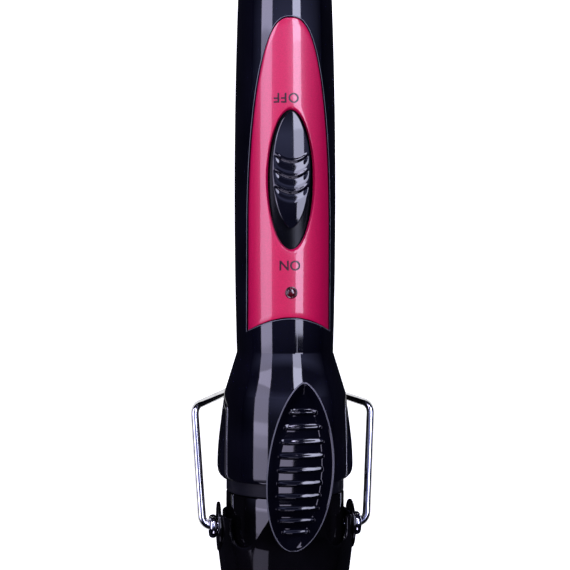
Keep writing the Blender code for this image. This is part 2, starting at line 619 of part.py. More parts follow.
def build_pivot(make):
    """Hinge bracket under the barrel and a hollow rivet through each side."""
    outer = BRACKET_INNER + BRACKET_SHEET
    strap = ([(-outer, BRACKET_LUG_TOP)] + arc((0, 0), outer, math.pi, 2 * math.pi, 24)
             + [(outer, BRACKET_LUG_TOP), (BRACKET_INNER, BRACKET_LUG_TOP)]
             + arc((0, 0), BRACKET_INNER, 2 * math.pi, math.pi, 24) + [(-BRACKET_INNER, BRACKET_LUG_TOP)])
    bracket = make.extruded("hinge_bracket", strap, BRACKET_WIDTH, "XZ", (0, 0, 0), STEEL)
    head_in, head_out = EYELET_HEAD_X
    eyelet = [(EYELET_BORE_RADIUS, head_out), (2.0 * MM, head_out), (2.6 * MM, head_out - 0.4 * MM),
              (EYELET_HEAD_RADIUS, head_out - 1.0 * MM), (EYELET_HEAD_RADIUS, head_in + 0.2 * MM),
              (EYELET_HEAD_RADIUS - 0.2 * MM, head_in), (EYELET_SHANK_RADIUS, head_in),
              (EYELET_SHANK_RADIUS, EYELET_INNER_X), (EYELET_BORE_RADIUS, EYELET_INNER_X)]
    for tag, side in (("left", -1), ("right", 1)):
        cut(bracket, make.pin("lug_hole_" + tag, (side * 14 * MM, 0, 0), (side * 20 * MM, 0, 0),
                              PIVOT_HOLE_RADIUS, steps=24))
        rivet = make.turned("pivot_eyelet_" + tag, eyelet, CHROME, steps=24)
        rivet.rotation_euler = (0.0, 0.0, -side * math.pi / 2)


def build_stand(make):
    """Wire stand: two arms from the pivot and a cross bar, folded back under the shoulder."""
    right = [Vector((STAND_END_X, 0.0, 0.0)), Vector((STAND_ARM_X[0], 0.0, 0.0)),
             Vector((STAND_ARM_X[1], *STAND_CORNER)), Vector((STAND_BAR_HALF, *STAND_BAR))]
    left = [Vector((-point.x, point.y, point.z)) for point in reversed(right)]
    make.wire("stand_bail", bend_corners(right + left, STAND_BEND), WIRE_RADIUS, CHROME)


def build_swivel(make):
    """Swivel cord inlet: the gland that turns, its retainer, slip rings and brushes."""
    gland = [(3.6 * MM, HALF_LENGTH), (5.4 * MM, 167.4 * MM), (6.0 * MM, HANDLE_REAR_Y + GAP),
             (4.9 * MM, HANDLE_REAR_Y + GAP), (4.9 * MM, 162.1 * MM), (7.2 * MM, 162.1 * MM),
             (7.2 * MM, 159.6 * MM), (3.6 * MM, 159.6 * MM), (3.6 * MM, 148 * MM), (2.6 * MM, 148 * MM),
             (2.6 * MM, HALF_LENGTH)]
    make.turned("swivel_gland", gland, MATTE_BLACK, steps=32)
    retainer = [(8.3 * MM, 159.2 * MM), (8.3 * MM, 157.6 * MM), (3.95 * MM, 157.6 * MM),
                (3.95 * MM, 159.2 * MM)]
    make.turned("swivel_retainer", retainer, MATTE_BLACK, steps=32)
    for tag, y, side in (("live", 155 * MM, 1), ("neutral", 151 * MM, -1)):
        make.turned("slip_ring_" + tag, [(5.0 * MM, y + MM), (5.0 * MM, y - MM), (3.9 * MM, y - MM),
                                         (3.9 * MM, y + MM)], BRASS, steps=24)
        heights = sorted((side * 5.35 * MM, side * 5.75 * MM))
        make.block("contact_brush_" + tag, (-1.4 * MM, 144 * MM, heights[0]),
                   (1.4 * MM, y + MM, heights[1]), BRASS)


def main():
    clear_scene()
    make = Builder()
    build_shells(make)
    build_housing_screws(make)
    build_switch(make)
    build_electronics(make)
    build_barrel(make)
    build_heater(make)
    build_clamp(make)
    build_lever(make)
    build_clamp_spring(make)
    build_pivot(make)
    build_stand(make)
    build_swivel(make)


main()
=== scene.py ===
"""Finished look of the curling iron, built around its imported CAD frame.

Places along the iron are measured from the clamp's pivot and heights from the iron's long axis,
as in the CAD. A shape is made there and then lifted to the axis by settle().
"""

import math

import bmesh
import bpy
from mathutils import Matrix, Vector


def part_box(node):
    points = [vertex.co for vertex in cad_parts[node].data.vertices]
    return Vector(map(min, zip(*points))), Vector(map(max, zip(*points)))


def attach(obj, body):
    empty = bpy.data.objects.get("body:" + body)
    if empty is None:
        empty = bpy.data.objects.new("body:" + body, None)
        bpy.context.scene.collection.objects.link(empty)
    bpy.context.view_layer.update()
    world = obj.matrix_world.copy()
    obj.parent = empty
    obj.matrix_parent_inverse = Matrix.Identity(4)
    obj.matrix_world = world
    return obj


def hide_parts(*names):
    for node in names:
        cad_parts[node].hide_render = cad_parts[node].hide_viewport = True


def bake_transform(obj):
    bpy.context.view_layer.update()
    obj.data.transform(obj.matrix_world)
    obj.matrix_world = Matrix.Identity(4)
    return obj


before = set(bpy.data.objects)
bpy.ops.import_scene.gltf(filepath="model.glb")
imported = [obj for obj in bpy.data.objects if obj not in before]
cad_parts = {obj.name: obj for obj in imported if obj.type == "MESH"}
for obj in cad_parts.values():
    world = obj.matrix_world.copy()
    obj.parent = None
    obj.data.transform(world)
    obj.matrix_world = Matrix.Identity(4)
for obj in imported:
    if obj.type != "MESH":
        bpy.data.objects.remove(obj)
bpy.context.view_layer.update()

MM = 0.001
BARREL_LOW, BARREL_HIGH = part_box("barrel_tube")
AXIS_HEIGHT = (BARREL_LOW.z + BARREL_HIGH.z) / 2
BARREL_RADIUS = (BARREL_HIGH.z - BARREL_LOW.z) / 2
RING_LOW, RING_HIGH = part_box("insulating_ring")
RING_RADIUS = (RING_HIGH.z - RING_LOW.z) / 2
HANDLE_LOW, HANDLE_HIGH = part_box("upper_handle_shell")
LEVER_LOW, LEVER_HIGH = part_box("thumb_lever")
CLAMP_FRONT_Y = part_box("clamp")[0].y
SLIDER_LOW, SLIDER_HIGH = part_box("switch_slider")
PANEL_LOW, PANEL_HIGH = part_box("accent_panel")
LENS_LOW, LENS_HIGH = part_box("led_lens")
TIP_FRONT_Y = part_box("cool_tip")[0].y
GLAND_REAR_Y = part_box("swivel_gland")[1].y
EYELET_LOW, EYELET_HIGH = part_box("pivot_eyelet_right")
STAND_HALF_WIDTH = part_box("stand_bail")[1].x

ROUND_STEPS = 192

# Handle and shoulder
HANDLE_RADIUS = 13.7 * MM
HANDLE_WAIST_Y = 90 * MM
HANDLE_CURVE = 0.34
HANDLE_WALL = 2.6 * MM
REAR_ROUNDING_Y = 152 * MM
REAR_OPENING_RADIUS = 5.4 * MM
NECK_Y = 46.9 * MM
FLARE_Y = 35.2 * MM
RING_SEAT_Y = 20.3 * MM
REAR_WALL_Y = 162.4 * MM
SKIN_Y = (48 * MM, 151 * MM)
WELL_RADIUS = 2.9 * MM
SHOULDER_FRONT_Y = HANDLE_LOW.y
SHOULDER_RADIUS = 17.4 * MM
CHEEK_RADIUS = 18.35 * MM
CHEEK_TOP = 4.5 * MM
CHEEK_REAR_Y = 31 * MM
SEAM_HALF_GAP = 0.1 * MM

# Panel, switch and lamp
PANEL_APEX_Y = PANEL_HIGH.y
PANEL_WIDE_Y = 80 * MM
PANEL_CORNER_Y = PANEL_LOW.y
PANEL_BULGE = 3.5 * MM
PANEL_HALF_WIDTH = PANEL_HIGH.x
PANEL_FULLNESS = 0.76
PANEL_RECESS = 1.5 * MM
WINDOW_Y = 92.55 * MM
WINDOW_SIZE = (5.95 * MM, 18.25 * MM)
SLIDER_Y = (SLIDER_LOW.y + SLIDER_HIGH.y) / 2
SLIDER_HALF = (SLIDER_HIGH.x, (SLIDER_HIGH.y - SLIDER_LOW.y) / 2)
SLIDER_BASE = 12.5 * MM
SLIDER_TOP = SLIDER_HIGH.z - AXIS_HEIGHT
LAMP_Y = (LENS_LOW.y + LENS_HIGH.y) / 2

# Clamp and lever
CLAMP_INNER_RADIUS = 16.35 * MM
CLAMP_SHEET = 0.75 * MM
CLAMP_FLARE_RADIUS = 17.65 * MM
CLAMP_FLARE_START_Y = -17 * MM
CLAMP_FLARE_END_Y = -2 * MM
CLAMP_HALF_ANGLE = math.radians(62)
CLAMP_OPENING_Y = (-60 * MM, -9 * MM)
SLOT_Y = -3.4 * MM
SLOT_ANGLES = (math.radians(34), math.radians(60))
EAR_RADIUS = 6.5 * MM
EAR_SHEET_END_Y = 3.6 * MM
LEVER_ARC_RADIUS = 98.8 * MM
LEVER_ARC_CENTRE = (58.6 * MM, -58.8 * MM)
LEVER_ARC_ENDS = [math.asin((LEVER_ARC_CENTRE[0] - end.y) / LEVER_ARC_RADIUS)
                  for end in (LEVER_LOW, LEVER_HIGH)]
LEVER_ARC_HALF = LEVER_ARC_RADIUS * (LEVER_ARC_ENDS[0] - LEVER_ARC_ENDS[1]) / 2
LEVER_THICKNESS = 1.6 * MM
NECK_TOP_RADIUS = LEVER_ARC_RADIUS - LEVER_THICKNESS - 0.3 * MM
NECK_END_Y = 31 * MM
LEVER_Y = (LEVER_LOW.y + LEVER_HIGH.y) / 2
LEVER_HALF = (LEVER_HIGH.x, (LEVER_HIGH.y - LEVER_LOW.y) / 2)
RIDGE_COUNT = 10
RIDGE_PITCH = 3.96 * MM

# Stand
WIRE_RADIUS = 1.15 * MM
STAND_ARM_X = (22.4 * MM, STAND_HALF_WIDTH - WIRE_RADIUS)
STAND_CORNER = (31.9 * MM, -4.0 * MM)
STAND_BAR = (35.6 * MM, WIRE_RADIUS - AXIS_HEIGHT)
STAND_BAR_HALF = 12 * MM

# Camera and lights, round the iron's axis
VIEW_TURN = math.radians(7)
LIGHT_DISTANCE = 600 * MM
LEFT_TINT = (0.74, 0.7, 1.0)
RIGHT_TINT = (0.74, 0.75, 1.0)
CAMERA_DISTANCE = 326 * MM
CAMERA_Y = 65 * MM
CAMERA_LENS = 75.8


# ---- materials

def node_material(name, colour, roughness, metallic=0.0, coat=0.0, ior=1.5):
    material = bpy.data.materials.new(name)
    material.use_nodes = True
    shader = material.node_tree.nodes["Principled BSDF"]
    values = {"Base Color": (*colour, 1.0), "Roughness": roughness, "Metallic": metallic,
              "Coat Weight": coat, "Coat Roughness": 0.02, "IOR": ior}
    for name, value in values.items():
        shader.inputs[name].default_value = value
    return material, material.node_tree, shader


def feed(tree, socket, value):
    """Wire an input to another node's output, or set its value."""
    if isinstance(value, bpy.types.NodeSocket):
        tree.links.new(value, socket)
    else:
        socket.default_value = value


def add_node(tree, kind, **values):
    """A shader node with some of its inputs fed; an underscore stands for a space."""
    node = tree.nodes.new("ShaderNode" + kind)
    for name, value in values.items():
        feed(tree, node.inputs[name.replace("_", " ")], value)
    return node


def mix_colours(tree, factor, first, second, blend="MIX"):
    node = add_node(tree, "Mix")
    node.data_type = "RGBA"
    node.blend_type = blend
    for place, value in ((0, factor), (6, first), (7, second)):
        feed(tree, node.inputs[place], value)
    return node.outputs[2]


def add_noise(tree, scale, detail=3.0, stretch=(1, 1, 1)):
    """Noise in object space, optionally drawn out along an axis."""
    place = add_node(tree, "TexCoord").outputs["Object"]
    mapping = add_node(tree, "Mapping", Vector=place, Scale=stretch)
    noise = add_node(tree, "TexNoise", Vector=mapping.outputs["Vector"], Scale=scale, Detail=detail)
    return noise.outputs["Fac"]


def vary_roughness(tree, shader, noise, low, high):
    spread = add_node(tree, "MapRange", Value=noise, To_Min=low, To_Max=high)
    tree.links.new(spread.outputs["Result"], shader.inputs["Roughness"])


def vary_colour(tree, shader, noise, first, second):
    ramp = add_node(tree, "ValToRGB", Fac=noise)
    for element, position, colour in zip(ramp.color_ramp.elements, (0.35, 0.65), (first, second)):
        element.position = position
        element.color = (*colour, 1.0)
    tree.links.new(ramp.outputs["Color"], shader.inputs["Base Color"])


def add_bump(tree, shader, noise, strength, distance):
    bump = add_node(tree, "Bump", Height=noise, Strength=strength, Distance=distance)
    tree.links.new(bump.outputs["Normal"], shader.inputs["Normal"])


def gloss_black():
    """Polished black plastic with the faint ripple and dust haze of a moulding."""
    material, tree, shader = node_material("gloss_black", (0.002, 0.002, 0.005), 0.06, ior=1.62)
    haze = add_noise(tree, 260, 4.0, (1, 0.4, 1))
    vary_roughness(tree, shader, haze, 0.03, 0.085)
    ripple = add_noise(tree, 38, 1.0, (1, 0.35, 1))
    add_bump(tree, shader, ripple, 0.06, 0.0004)
    tint = add_noise(tree, 60)
    vary_colour(tree, shader, tint, (0.001, 0.001, 0.003), (0.003, 0.003, 0.007))
    return material


def coated_black(name, rough_low, rough_high):
    """Black ceramic coating on metal, slightly orange-peeled."""
    material, tree, shader = node_material(name, (0.002, 0.002, 0.003), 0.1, ior=1.58)
    haze = add_noise(tree, 180, 5.0, (1, 0.2, 1))
    vary_roughness(tree, shader, haze, rough_low, rough_high)
    peel = add_noise(tree, 900, 2.0)
    add_bump(tree, shader, peel, 0.03, 0.0001)
    tint = add_noise(tree, 90)
    vary_colour(tree, shader, tint, (0.001, 0.001, 0.0014), (0.0024, 0.002, 0.003))
    return material


def satin_black(name="satin_black", colour=(0.012, 0.012, 0.015), roughness=(0.34, 0.5), ior=1.5):
    """Fine spark-eroded texture on black plastic."""
    material, tree, shader = node_material(name, colour, 0.4, ior=ior)
    grain = add_noise(tree, 2600, 2.0)
    add_bump(tree, shader, grain, 0.25, 0.00006)
    haze = add_noise(tree, 120)
    vary_roughness(tree, shader, haze, *roughness)
    lighter = tuple(value * 1.5 for value in colour)
    vary_colour(tree, shader, haze, colour, lighter)
    return material


def pearl_pink():
    """Magenta lacquer with fine pearl flakes under a clear coat, with painted shade that darkens it where
    it turns away from the view.
    """
    material, tree, shader = node_material("pearl_pink", (0.4, 0.015, 0.07), 0.32, coat=1.0)
    place = add_node(tree, "TexCoord").outputs["Object"]
    flakes = add_node(tree, "TexVoronoi", Vector=place, Scale=5200)
    brightness = add_node(tree, "SeparateColor", Color=flakes.outputs["Color"])
    shade = add_node(tree, "MapRange", Value=brightness.outputs["Red"], To_Min=0.7, To_Max=1.25)
    # Painted shade: the colour is bright where the panel faces the view and dark toward its edges as seen.
    facing = add_node(tree, "LayerWeight", Blend=0.42).outputs["Facing"]
    depth = mix_colours(tree, facing, (0.62, 0.003, 0.076, 1.0), (0.17, 0.001, 0.035, 1.0))
    spark = mix_colours(tree, 0.35, depth, shade.outputs["Result"], "MULTIPLY")
    tree.links.new(spark, shader.inputs["Base Color"])
    ripple = add_noise(tree, 45, 1.0, (1, 0.3, 1))
    add_bump(tree, shader, ripple, 0.04, 0.0003)
    return material


def metal(name, colour, rough_low, rough_high, stretch=(1, 1, 1)):
    """Plated or bare metal with faint handling marks."""
    material, tree, shader = node_material(name, colour, rough_low, metallic=1.0)
    marks = add_noise(tree, 420, 5.0, stretch)
    vary_roughness(tree, shader, marks, rough_low, rough_high)
    darker = tuple(value * 0.86 for value in colour)
    vary_colour(tree, shader, marks, darker, colour)
    return material


def plain(name, first, second, roughness, scale=300):
    """Uncoated plastic, ceramic or board, mottled between two close colours."""
    material, tree, shader = node_material(name, first, roughness)
    mottle = add_noise(tree, scale, 4.0)
    vary_colour(tree, shader, mottle, first, second)
    add_bump(tree, shader, mottle, 0.1, 0.00005)
    return material


def lamp_plastic():
    """Clear dark red dome over the unlit lamp."""
    material, tree, shader = node_material("lamp_plastic", (0.05, 0.002, 0.006), 0.05, coat=1.0)
    swirl = add_noise(tree, 900, 2.0)
    vary_colour(tree, shader, swirl, (0.03, 0.001, 0.004), (0.09, 0.004, 0.01))
    return material


def make_materials():
    return {
        "black": gloss_black(),
        "barrel": coated_black("barrel_coating", 0.03, 0.07),
        "clamp": coated_black("clamp_coating", 0.04, 0.09),
        "satin": satin_black(),
        "ring": satin_black("ring_grey", (0.0025, 0.0025, 0.0055), (0.46, 0.58), 1.36),
        "recess": satin_black("recess_black", (0.001, 0.001, 0.002), (0.18, 0.28), 1.26),
        "pink": pearl_pink(),
        # Lighter grey for the fine edge beads: a painted highlight along the edges.
        "rim": satin_black("edge_painted_highlight", (0.1, 0.1, 0.12), (0.2, 0.3)),
        "chrome": metal("chrome", (0.82, 0.82, 0.85), 0.03, 0.09),
        "steel": metal("zinc_steel", (0.5, 0.5, 0.52), 0.22, 0.38, (1, 6, 1)),
        "aluminium": metal("aluminium", (0.7, 0.71, 0.73), 0.3, 0.45, (6, 1, 6)),
        "brass": metal("brass", (0.72, 0.5, 0.2), 0.22, 0.36),
        "ceramic": plain("ceramic", (0.75, 0.73, 0.68), (0.82, 0.8, 0.76), 0.6),
        "board": plain("board", (0.02, 0.14, 0.06), (0.03, 0.19, 0.08), 0.4),
        "sleeve": plain("sleeve", (0.5, 0.5, 0.48), (0.62, 0.62, 0.6), 0.7, 1500),
        "lamp": lamp_plastic(),
        "ink": plain("ink", (0.03, 0.006, 0.014), (0.04, 0.009, 0.02), 0.35, 900),
    }


FINISHES = make_materials()


# ---- mesh tools

def smoothstep(value):
    value = min(max(value, 0.0), 1.0)
    return value * value * (3 - 2 * value)


def linked(name, data):
    item = bpy.data.objects.new(name, data)
    bpy.context.scene.collection.objects.link(item)
    return item


def settle(name, mesh, look, body, replaced=(), sharp=38):
    """Lift a mesh to the iron's axis, smooth it up to a sharp angle and hand it to its body."""
    mesh.transform(Matrix.Translation((0, 0, AXIS_HEIGHT)))
    mesh.materials.clear()
    mesh.materials.append(FINISHES[look])
    mesh.shade_smooth()
    if sharp is not None:
        mesh.set_sharp_from_angle(angle=math.radians(sharp))
    piece = linked(name, mesh)
    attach(piece, body)
    if replaced:
        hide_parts(*replaced)


def mesh_of(work, name, outward=True):
    mesh = bpy.data.meshes.new(name)
    if outward:
        bmesh.ops.recalc_face_normals(work, faces=work.faces)
    work.to_mesh(mesh)
    work.free()
    return mesh


def add_strips(work, rows, closed=False):
    """Quads between neighbouring rows of corners; closed joins each row's ends."""
    for first, second in zip(rows, rows[1:]):
        count = len(first)
        for i in range(count if closed else count - 1):
            k = (i + 1) % count
            work.faces.new((first[i], first[k], second[k], second[i]))


def in_mm(*pairs):
    return [(a * MM, b * MM) for a, b in pairs]


def box_outline(half_width, low, high):
    return [(-half_width, low), (half_width, low), (half_width, high), (-half_width, high)]


def grid_mesh(name, columns, rows, place, closed_across=False):
    """A sheet whose corner (i, j) is place(i / columns, j / rows)."""
    work = bmesh.new()
    across = columns if closed_across else columns + 1
    lines = [[work.verts.new(place(i / columns, j / rows)) for i in range(across)]
             for j in range(rows + 1)]
    add_strips(work, lines, closed_across)
    bmesh.ops.remove_doubles(work, verts=work.verts, dist=1e-7)
    return mesh_of(work, name, outward=closed_across)


def turned_mesh(name, profile, steps=ROUND_STEPS, closed=True):
    """A (radius, y) profile turned about Y."""
    points = profile + [profile[0]] if closed else profile
    count = len(points) - 1

    def place(across, along):
        turn = 2 * math.pi * across
        radius, y = points[round(along * count)]
        return (radius * math.sin(turn), y, radius * math.cos(turn))

    return grid_mesh(name, steps, count, place, closed_across=True)


def modified(mesh, *edits):
    """Apply modifiers to a mesh: each edit is (kind, settings)."""
    item = linked("work", mesh)
    for kind, settings in edits:
        modifier = item.modifiers.new(kind.lower(), kind)
        for key, value in settings.items():
            setattr(modifier, key, value)
    bpy.context.view_layer.update()
    done = bpy.data.meshes.new_from_object(item.evaluated_get(bpy.context.evaluated_depsgraph_get()))
    bpy.data.objects.remove(item, do_unlink=True)
    return done


def turn_up(mesh, place, tilt=0.0):
    """Point the axis of a turned shape up, or tilted from up, and put it in its place."""
    mesh.transform(Matrix.Translation(place) @ Matrix.Rotation(math.pi / 2 + tilt, 4, "X"))


def turn_out(mesh, side):
    """Point the axis of a turned shape to the left (-1) or right (1)."""
    mesh.transform(Matrix.Rotation(-side * math.pi / 2, 4, "Z"))


def with_cuts(mesh, cutters):
    """Cut a mesh with others, which are thrown away."""
    items = [linked("cutter", cutter) for cutter in cutters]
    cuts = [("BOOLEAN", {"operation": "DIFFERENCE", "object": item}) for item in items]
    done = modified(mesh, *cuts)
    for item in items:
        bpy.data.objects.remove(item, do_unlink=True)
    return done


def prism(outline, low, high, plane="XY"):
    """A solid between two levels with a flat outline, in XY or in YZ."""
    work = bmesh.new()

    def corner(a, b, level):
        return (a, b, level) if plane == "XY" else (level, a, b)

    bottom = [work.verts.new(corner(a, b, low)) for a, b in outline]
    top = [work.verts.new(corner(a, b, high)) for a, b in outline]
    work.faces.new(bottom)
    work.faces.new(top)
    add_strips(work, [bottom, top], closed=True)
    return mesh_of(work, "prism")


def round_prism(y, radius, low, high, steps=48):
    turns = [2 * math.pi * i / steps for i in range(steps)]
    return prism([(radius * math.cos(turn), y + radius * math.sin(turn)) for turn in turns], low, high)


def bead_mesh(path, radius, sides=10, cyclic=True):
    """A fine round bead or a wire along a path of points."""
    path = [Vector(point) for point in path]
    count = len(path)
    work = bmesh.new()
    rings = []
    frame_up = None
    around = [path[-1], *path, path[0]] if cyclic else [path[0], *path, path[-1]]
    for i, point in enumerate(path):
        ahead = (around[i + 2] - around[i]).normalized()
        if frame_up is None:
            frame_up = ahead.orthogonal().normalized()
        frame_up = (frame_up - ahead * frame_up.dot(ahead)).normalized()
        side = ahead.cross(frame_up)
        turns = [2 * math.pi * k / sides for k in range(sides)]
        rings.append([work.verts.new(point + radius * (math.cos(t) * frame_up + math.sin(t) * side))
                      for t in turns])
    last = count if cyclic else count - 1
    for i in range(last):
        first, second = rings[i], rings[(i + 1) % count]
        shift = 0
        if cyclic and i == count - 1:
            shift = min(range(sides), key=lambda s: (first[0].co - second[s].co).length)
        for k in range(sides):
            a, b = (k + shift) % sides, (k + 1 + shift) % sides
            work.faces.new((first[k], first[(k + 1) % sides], second[b], second[a]))
    if not cyclic:
        work.faces.new(list(reversed(rings[0])))
        work.faces.new(rings[-1])
    return mesh_of(work, "bead")


def joined(name, meshes):
    """Put several meshes into one."""
    work = bmesh.new()
    for mesh in meshes:
        work.from_mesh(mesh)
        bpy.data.meshes.remove(mesh)
    return mesh_of(work, name, outward=False)


# ---- shells and panel

def handle_radius(y):
    return HANDLE_RADIUS - HANDLE_CURVE * (y - HANDLE_WAIST_Y) ** 2


def on_handle(x, y, depth=0.0):
    """The point of the handle's skin above (x, y), sunk by a depth."""
    radius = handle_radius(y) - depth
    return Vector((x, y, math.sqrt(max(radius ** 2 - x ** 2, 0.0))))


def panel_outline(grow=0.0):
    """Bullet outline of the accent panel, from its widest point round by the apex."""
    width = PANEL_HALF_WIDTH + grow
    apex = PANEL_APEX_Y + grow
    right = []
    for i in range(49):
        turn = math.pi / 2 * i / 48
        right.append((width * max(math.cos(turn), 0.0) ** PANEL_FULLNESS,
                      PANEL_WIDE_Y + (apex - PANEL_WIDE_Y) * math.sin(turn)))
    left = [(-x, y) for x, y in reversed(right[:-1])]
    corner = PANEL_CORNER_Y - grow
    side = [(width, PANEL_WIDE_Y + (corner - PANEL_WIDE_Y) * i / 8) for i in range(1, 8)]
    foot = [(width * (i / 12 - 1), corner + PANEL_BULGE * (1 - (i / 12 - 1) ** 2)) for i in range(25)]
    return right + left + [(-x, y) for x, y in side] + foot + list(reversed(side))


def handle_profile(front_outer):
    """Closed profile of the handle's wall with a fine row of stations."""
    rear_radius = handle_radius(REAR_ROUNDING_Y)
    rear_y = HANDLE_HIGH.y
    points = [(REAR_OPENING_RADIUS, rear_y)]
    for i in range(1, 19):
        turn = math.pi / 2 * (1 - i / 18)
        points.append((REAR_OPENING_RADIUS + (rear_radius - REAR_OPENING_RADIUS) * math.cos(turn),
                       REAR_ROUNDING_Y + (rear_y - REAR_ROUNDING_Y) * math.sin(turn)))
    stations = 60
    for i in range(1, stations):
        y = REAR_ROUNDING_Y + (NECK_Y + 0.5 * MM - REAR_ROUNDING_Y) * i / stations
        points.append((handle_radius(y), y))
    points.append((handle_radius(NECK_Y + 0.4 * MM), NECK_Y + 0.4 * MM))
    points += front_outer
    pocket = RING_RADIUS + 0.15 * MM
    points += [(pocket, SHOULDER_FRONT_Y), (pocket, RING_SEAT_Y), (14.6 * MM, RING_SEAT_Y),
               (14.0 * MM, FLARE_Y), (handle_radius(NECK_Y) - HANDLE_WALL, NECK_Y)]
    points += [(handle_radius(y * MM) - HANDLE_WALL, y * MM) for y in (68, 90, 112, 134)]
    points += [(rear_radius - HANDLE_WALL, REAR_ROUNDING_Y), (8.3 * MM, REAR_WALL_Y),
               (REAR_OPENING_RADIUS, REAR_WALL_Y)]
    return points


def shoulder_curve(knots, steps=10):
    """Smooth run of (radius, y) points through knots."""
    points = []
    count = len(knots)
    for i in range(count - 1):
        before = Vector(knots[max(i - 1, 0)])
        first, second = Vector(knots[i]), Vector(knots[i + 1])
        after = Vector(knots[min(i + 2, count - 1)])
        for k in range(steps):
            t = k / steps
            spot = 0.5 * (2 * first + (second - before) * t
                          + (2 * before - 5 * first + 4 * second - after) * t ** 2
                          + (3 * first - before - 3 * second + after) * t ** 3)
            points.append((spot.x, spot.y))
    points.append(knots[-1])
    return points


def shoulder_front(knots, lip):
    """Outside of the shoulder, from the handle's neck round through knots to its front edge."""
    neck = [(handle_radius(NECK_Y), NECK_Y), (14.9 * MM, 41.0 * MM)]
    return neck + shoulder_curve([(16.45 * MM, 36 * MM)] + knots) + lip


def split_outline(offset, far):
    """Side outline of all beyond the seam between the two shells."""
    return [(180 * MM, far), (180 * MM, offset), (CHEEK_REAR_Y + 2.5 * MM, offset),
            (CHEEK_REAR_Y, CHEEK_TOP + offset), (0.0, CHEEK_TOP + offset), (0.0, far)]


def skin_normals(mesh):
    """Give the handle's skin its true normals, so that cuts leave no mark in its gloss."""
    mesh.shade_smooth()
    mesh.set_sharp_from_angle(angle=math.radians(30))
    normals = [tuple(corner.vector) for corner in mesh.corner_normals]
    step = 0.05 * MM
    for face in mesh.polygons:
        for k in face.loop_indices:
            spot = mesh.vertices[mesh.loops[k].vertex_index].co
            radius = math.hypot(spot.x, spot.z)
            if not SKIN_Y[0] <= spot.y <= SKIN_Y[1] or abs(radius - handle_radius(spot.y)) > 0.03 * MM:
                continue
            slope = (handle_radius(spot.y + step) - handle_radius(spot.y - step)) / (2 * step)
            normal = Vector((spot.x / radius, -slope, spot.z / radius)).normalized()
            if normal.dot(face.normal) > 0.97:
                normals[k] = tuple(normal)
    mesh.normals_split_custom_set(normals)


def make_shell(name, front, cutters):
    """The turned wall of the handle, cut to one of its two shells."""
    shell = with_cuts(turned_mesh(name, handle_profile(front)), cutters)
    skin_normals(shell)
    half = name.split("_")[0]
    settle(name, shell, "black", "root", [half + "_handle_shell"], None)
    return shell


def make_shells():
    """Upper and lower shells with their seam, and the recess that the panel lies in."""
    above = prism(split_outline(SEAM_HALF_GAP, -30 * MM), -30 * MM, 30 * MM, "YZ")
    bed = [(0.0, 142 * MM)] + [(handle_radius(y * MM) - PANEL_RECESS, y * MM) for y in range(142, 44, -4)]
    bed = turned_mesh("bed", bed + [(0.0, 46 * MM)], closed=False)
    recess = with_cuts(prism(panel_outline(0.2 * MM), 5 * MM, 20 * MM), [bed])
    slot = prism(box_outline(1.9 * MM, 87.2 * MM, 97.9 * MM), 5 * MM, 20 * MM)
    front = shoulder_front(
        [(17.0 * MM, 31 * MM), (17.3 * MM, 23 * MM), (SHOULDER_RADIUS, 15.5 * MM),
         (SHOULDER_RADIUS - 0.1 * MM, 13.9 * MM)],
        [(SHOULDER_RADIUS - 0.4 * MM, SHOULDER_FRONT_Y + 0.12 * MM),
         (SHOULDER_RADIUS - 0.7 * MM, SHOULDER_FRONT_Y)])
    upper = make_shell("upper_shell", front, [above, recess, slot])
    upper.materials.append(FINISHES["recess"])
    for face in upper.polygons:
        x, y, z = face.center
        sunk = abs(handle_radius(y) - math.hypot(x, z - AXIS_HEIGHT) - PANEL_RECESS) < 0.2 * MM
        if sunk and z > AXIS_HEIGHT + 5 * MM and PANEL_CORNER_Y < y < PANEL_APEX_Y:
            face.material_index = 1

    # A lighter grey bead round the recess: a painted highlight along the panel's edge.
    edge = [on_handle(x, y, 0.08 * MM) for x, y in panel_outline(0.36 * MM)]
    settle("recess_edge", bead_mesh(edge, 0.13 * MM), "rim", "root", sharp=None)

    below = prism(split_outline(-SEAM_HALF_GAP, 30 * MM), -30 * MM, 30 * MM, "YZ")
    wells = [round_prism(y, WELL_RADIUS, -25 * MM, top)
             for y, top in in_mm((27, -13.6), (119, -11.3), (138, -11.3))]
    front = shoulder_front(
        [(17.15 * MM, 30.5 * MM), (18.05 * MM, 23 * MM), (CHEEK_RADIUS, 17.5 * MM),
         (CHEEK_RADIUS - 0.15 * MM, 15.2 * MM), (CHEEK_RADIUS - 0.7 * MM, 14.0 * MM)],
        [(CHEEK_RADIUS - 1.4 * MM, SHOULDER_FRONT_Y)])
    make_shell("lower_shell", front, [below] + wells)


def make_panel():
    """Accent panel, meshed between its outline and the switch window, with soft edges."""
    outer = [Vector(point) for point in panel_outline()]
    inner = []
    for x, y in outer:
        turn = math.atan2((y - WINDOW_Y) / WINDOW_SIZE[1], x / WINDOW_SIZE[0])
        inner.append(Vector((WINDOW_SIZE[0] * math.cos(turn), WINDOW_Y + WINDOW_SIZE[1] * math.sin(turn))))
    rounding = [(0.0, 1.2), (0.0, 0.32), (0.04, 0.16), (0.14, 0.045), (0.3, 0.0)]
    inner_cut = [(0.75, 0.0), (0.62, 0.02), (0.05, 0.62), (0.0, 0.75), (0.0, 1.2)]

    def inset(starts, ends, distance):
        return [a + (b - a).normalized() * distance * MM for a, b in zip(starts, ends)]

    levels = [(inset(outer, inner, distance), depth) for distance, depth in rounding]
    first, last = levels[-1][0], inset(inner, outer, inner_cut[0][0])
    levels += [([a.lerp(b, i / 14) for a, b in zip(first, last)], 0.0) for i in range(1, 14)]
    levels += [(inset(inner, outer, distance), depth) for distance, depth in inner_cut]
    work = bmesh.new()
    rings = [[work.verts.new(on_handle(x, y, depth * MM)) for x, y in spots] for spots, depth in levels]
    add_strips(work, rings + rings[:1], closed=True)
    mesh = mesh_of(work, "accent_panel_skin")
    settle("accent_panel_skin", mesh, "pink", "root", ["accent_panel"], 50)


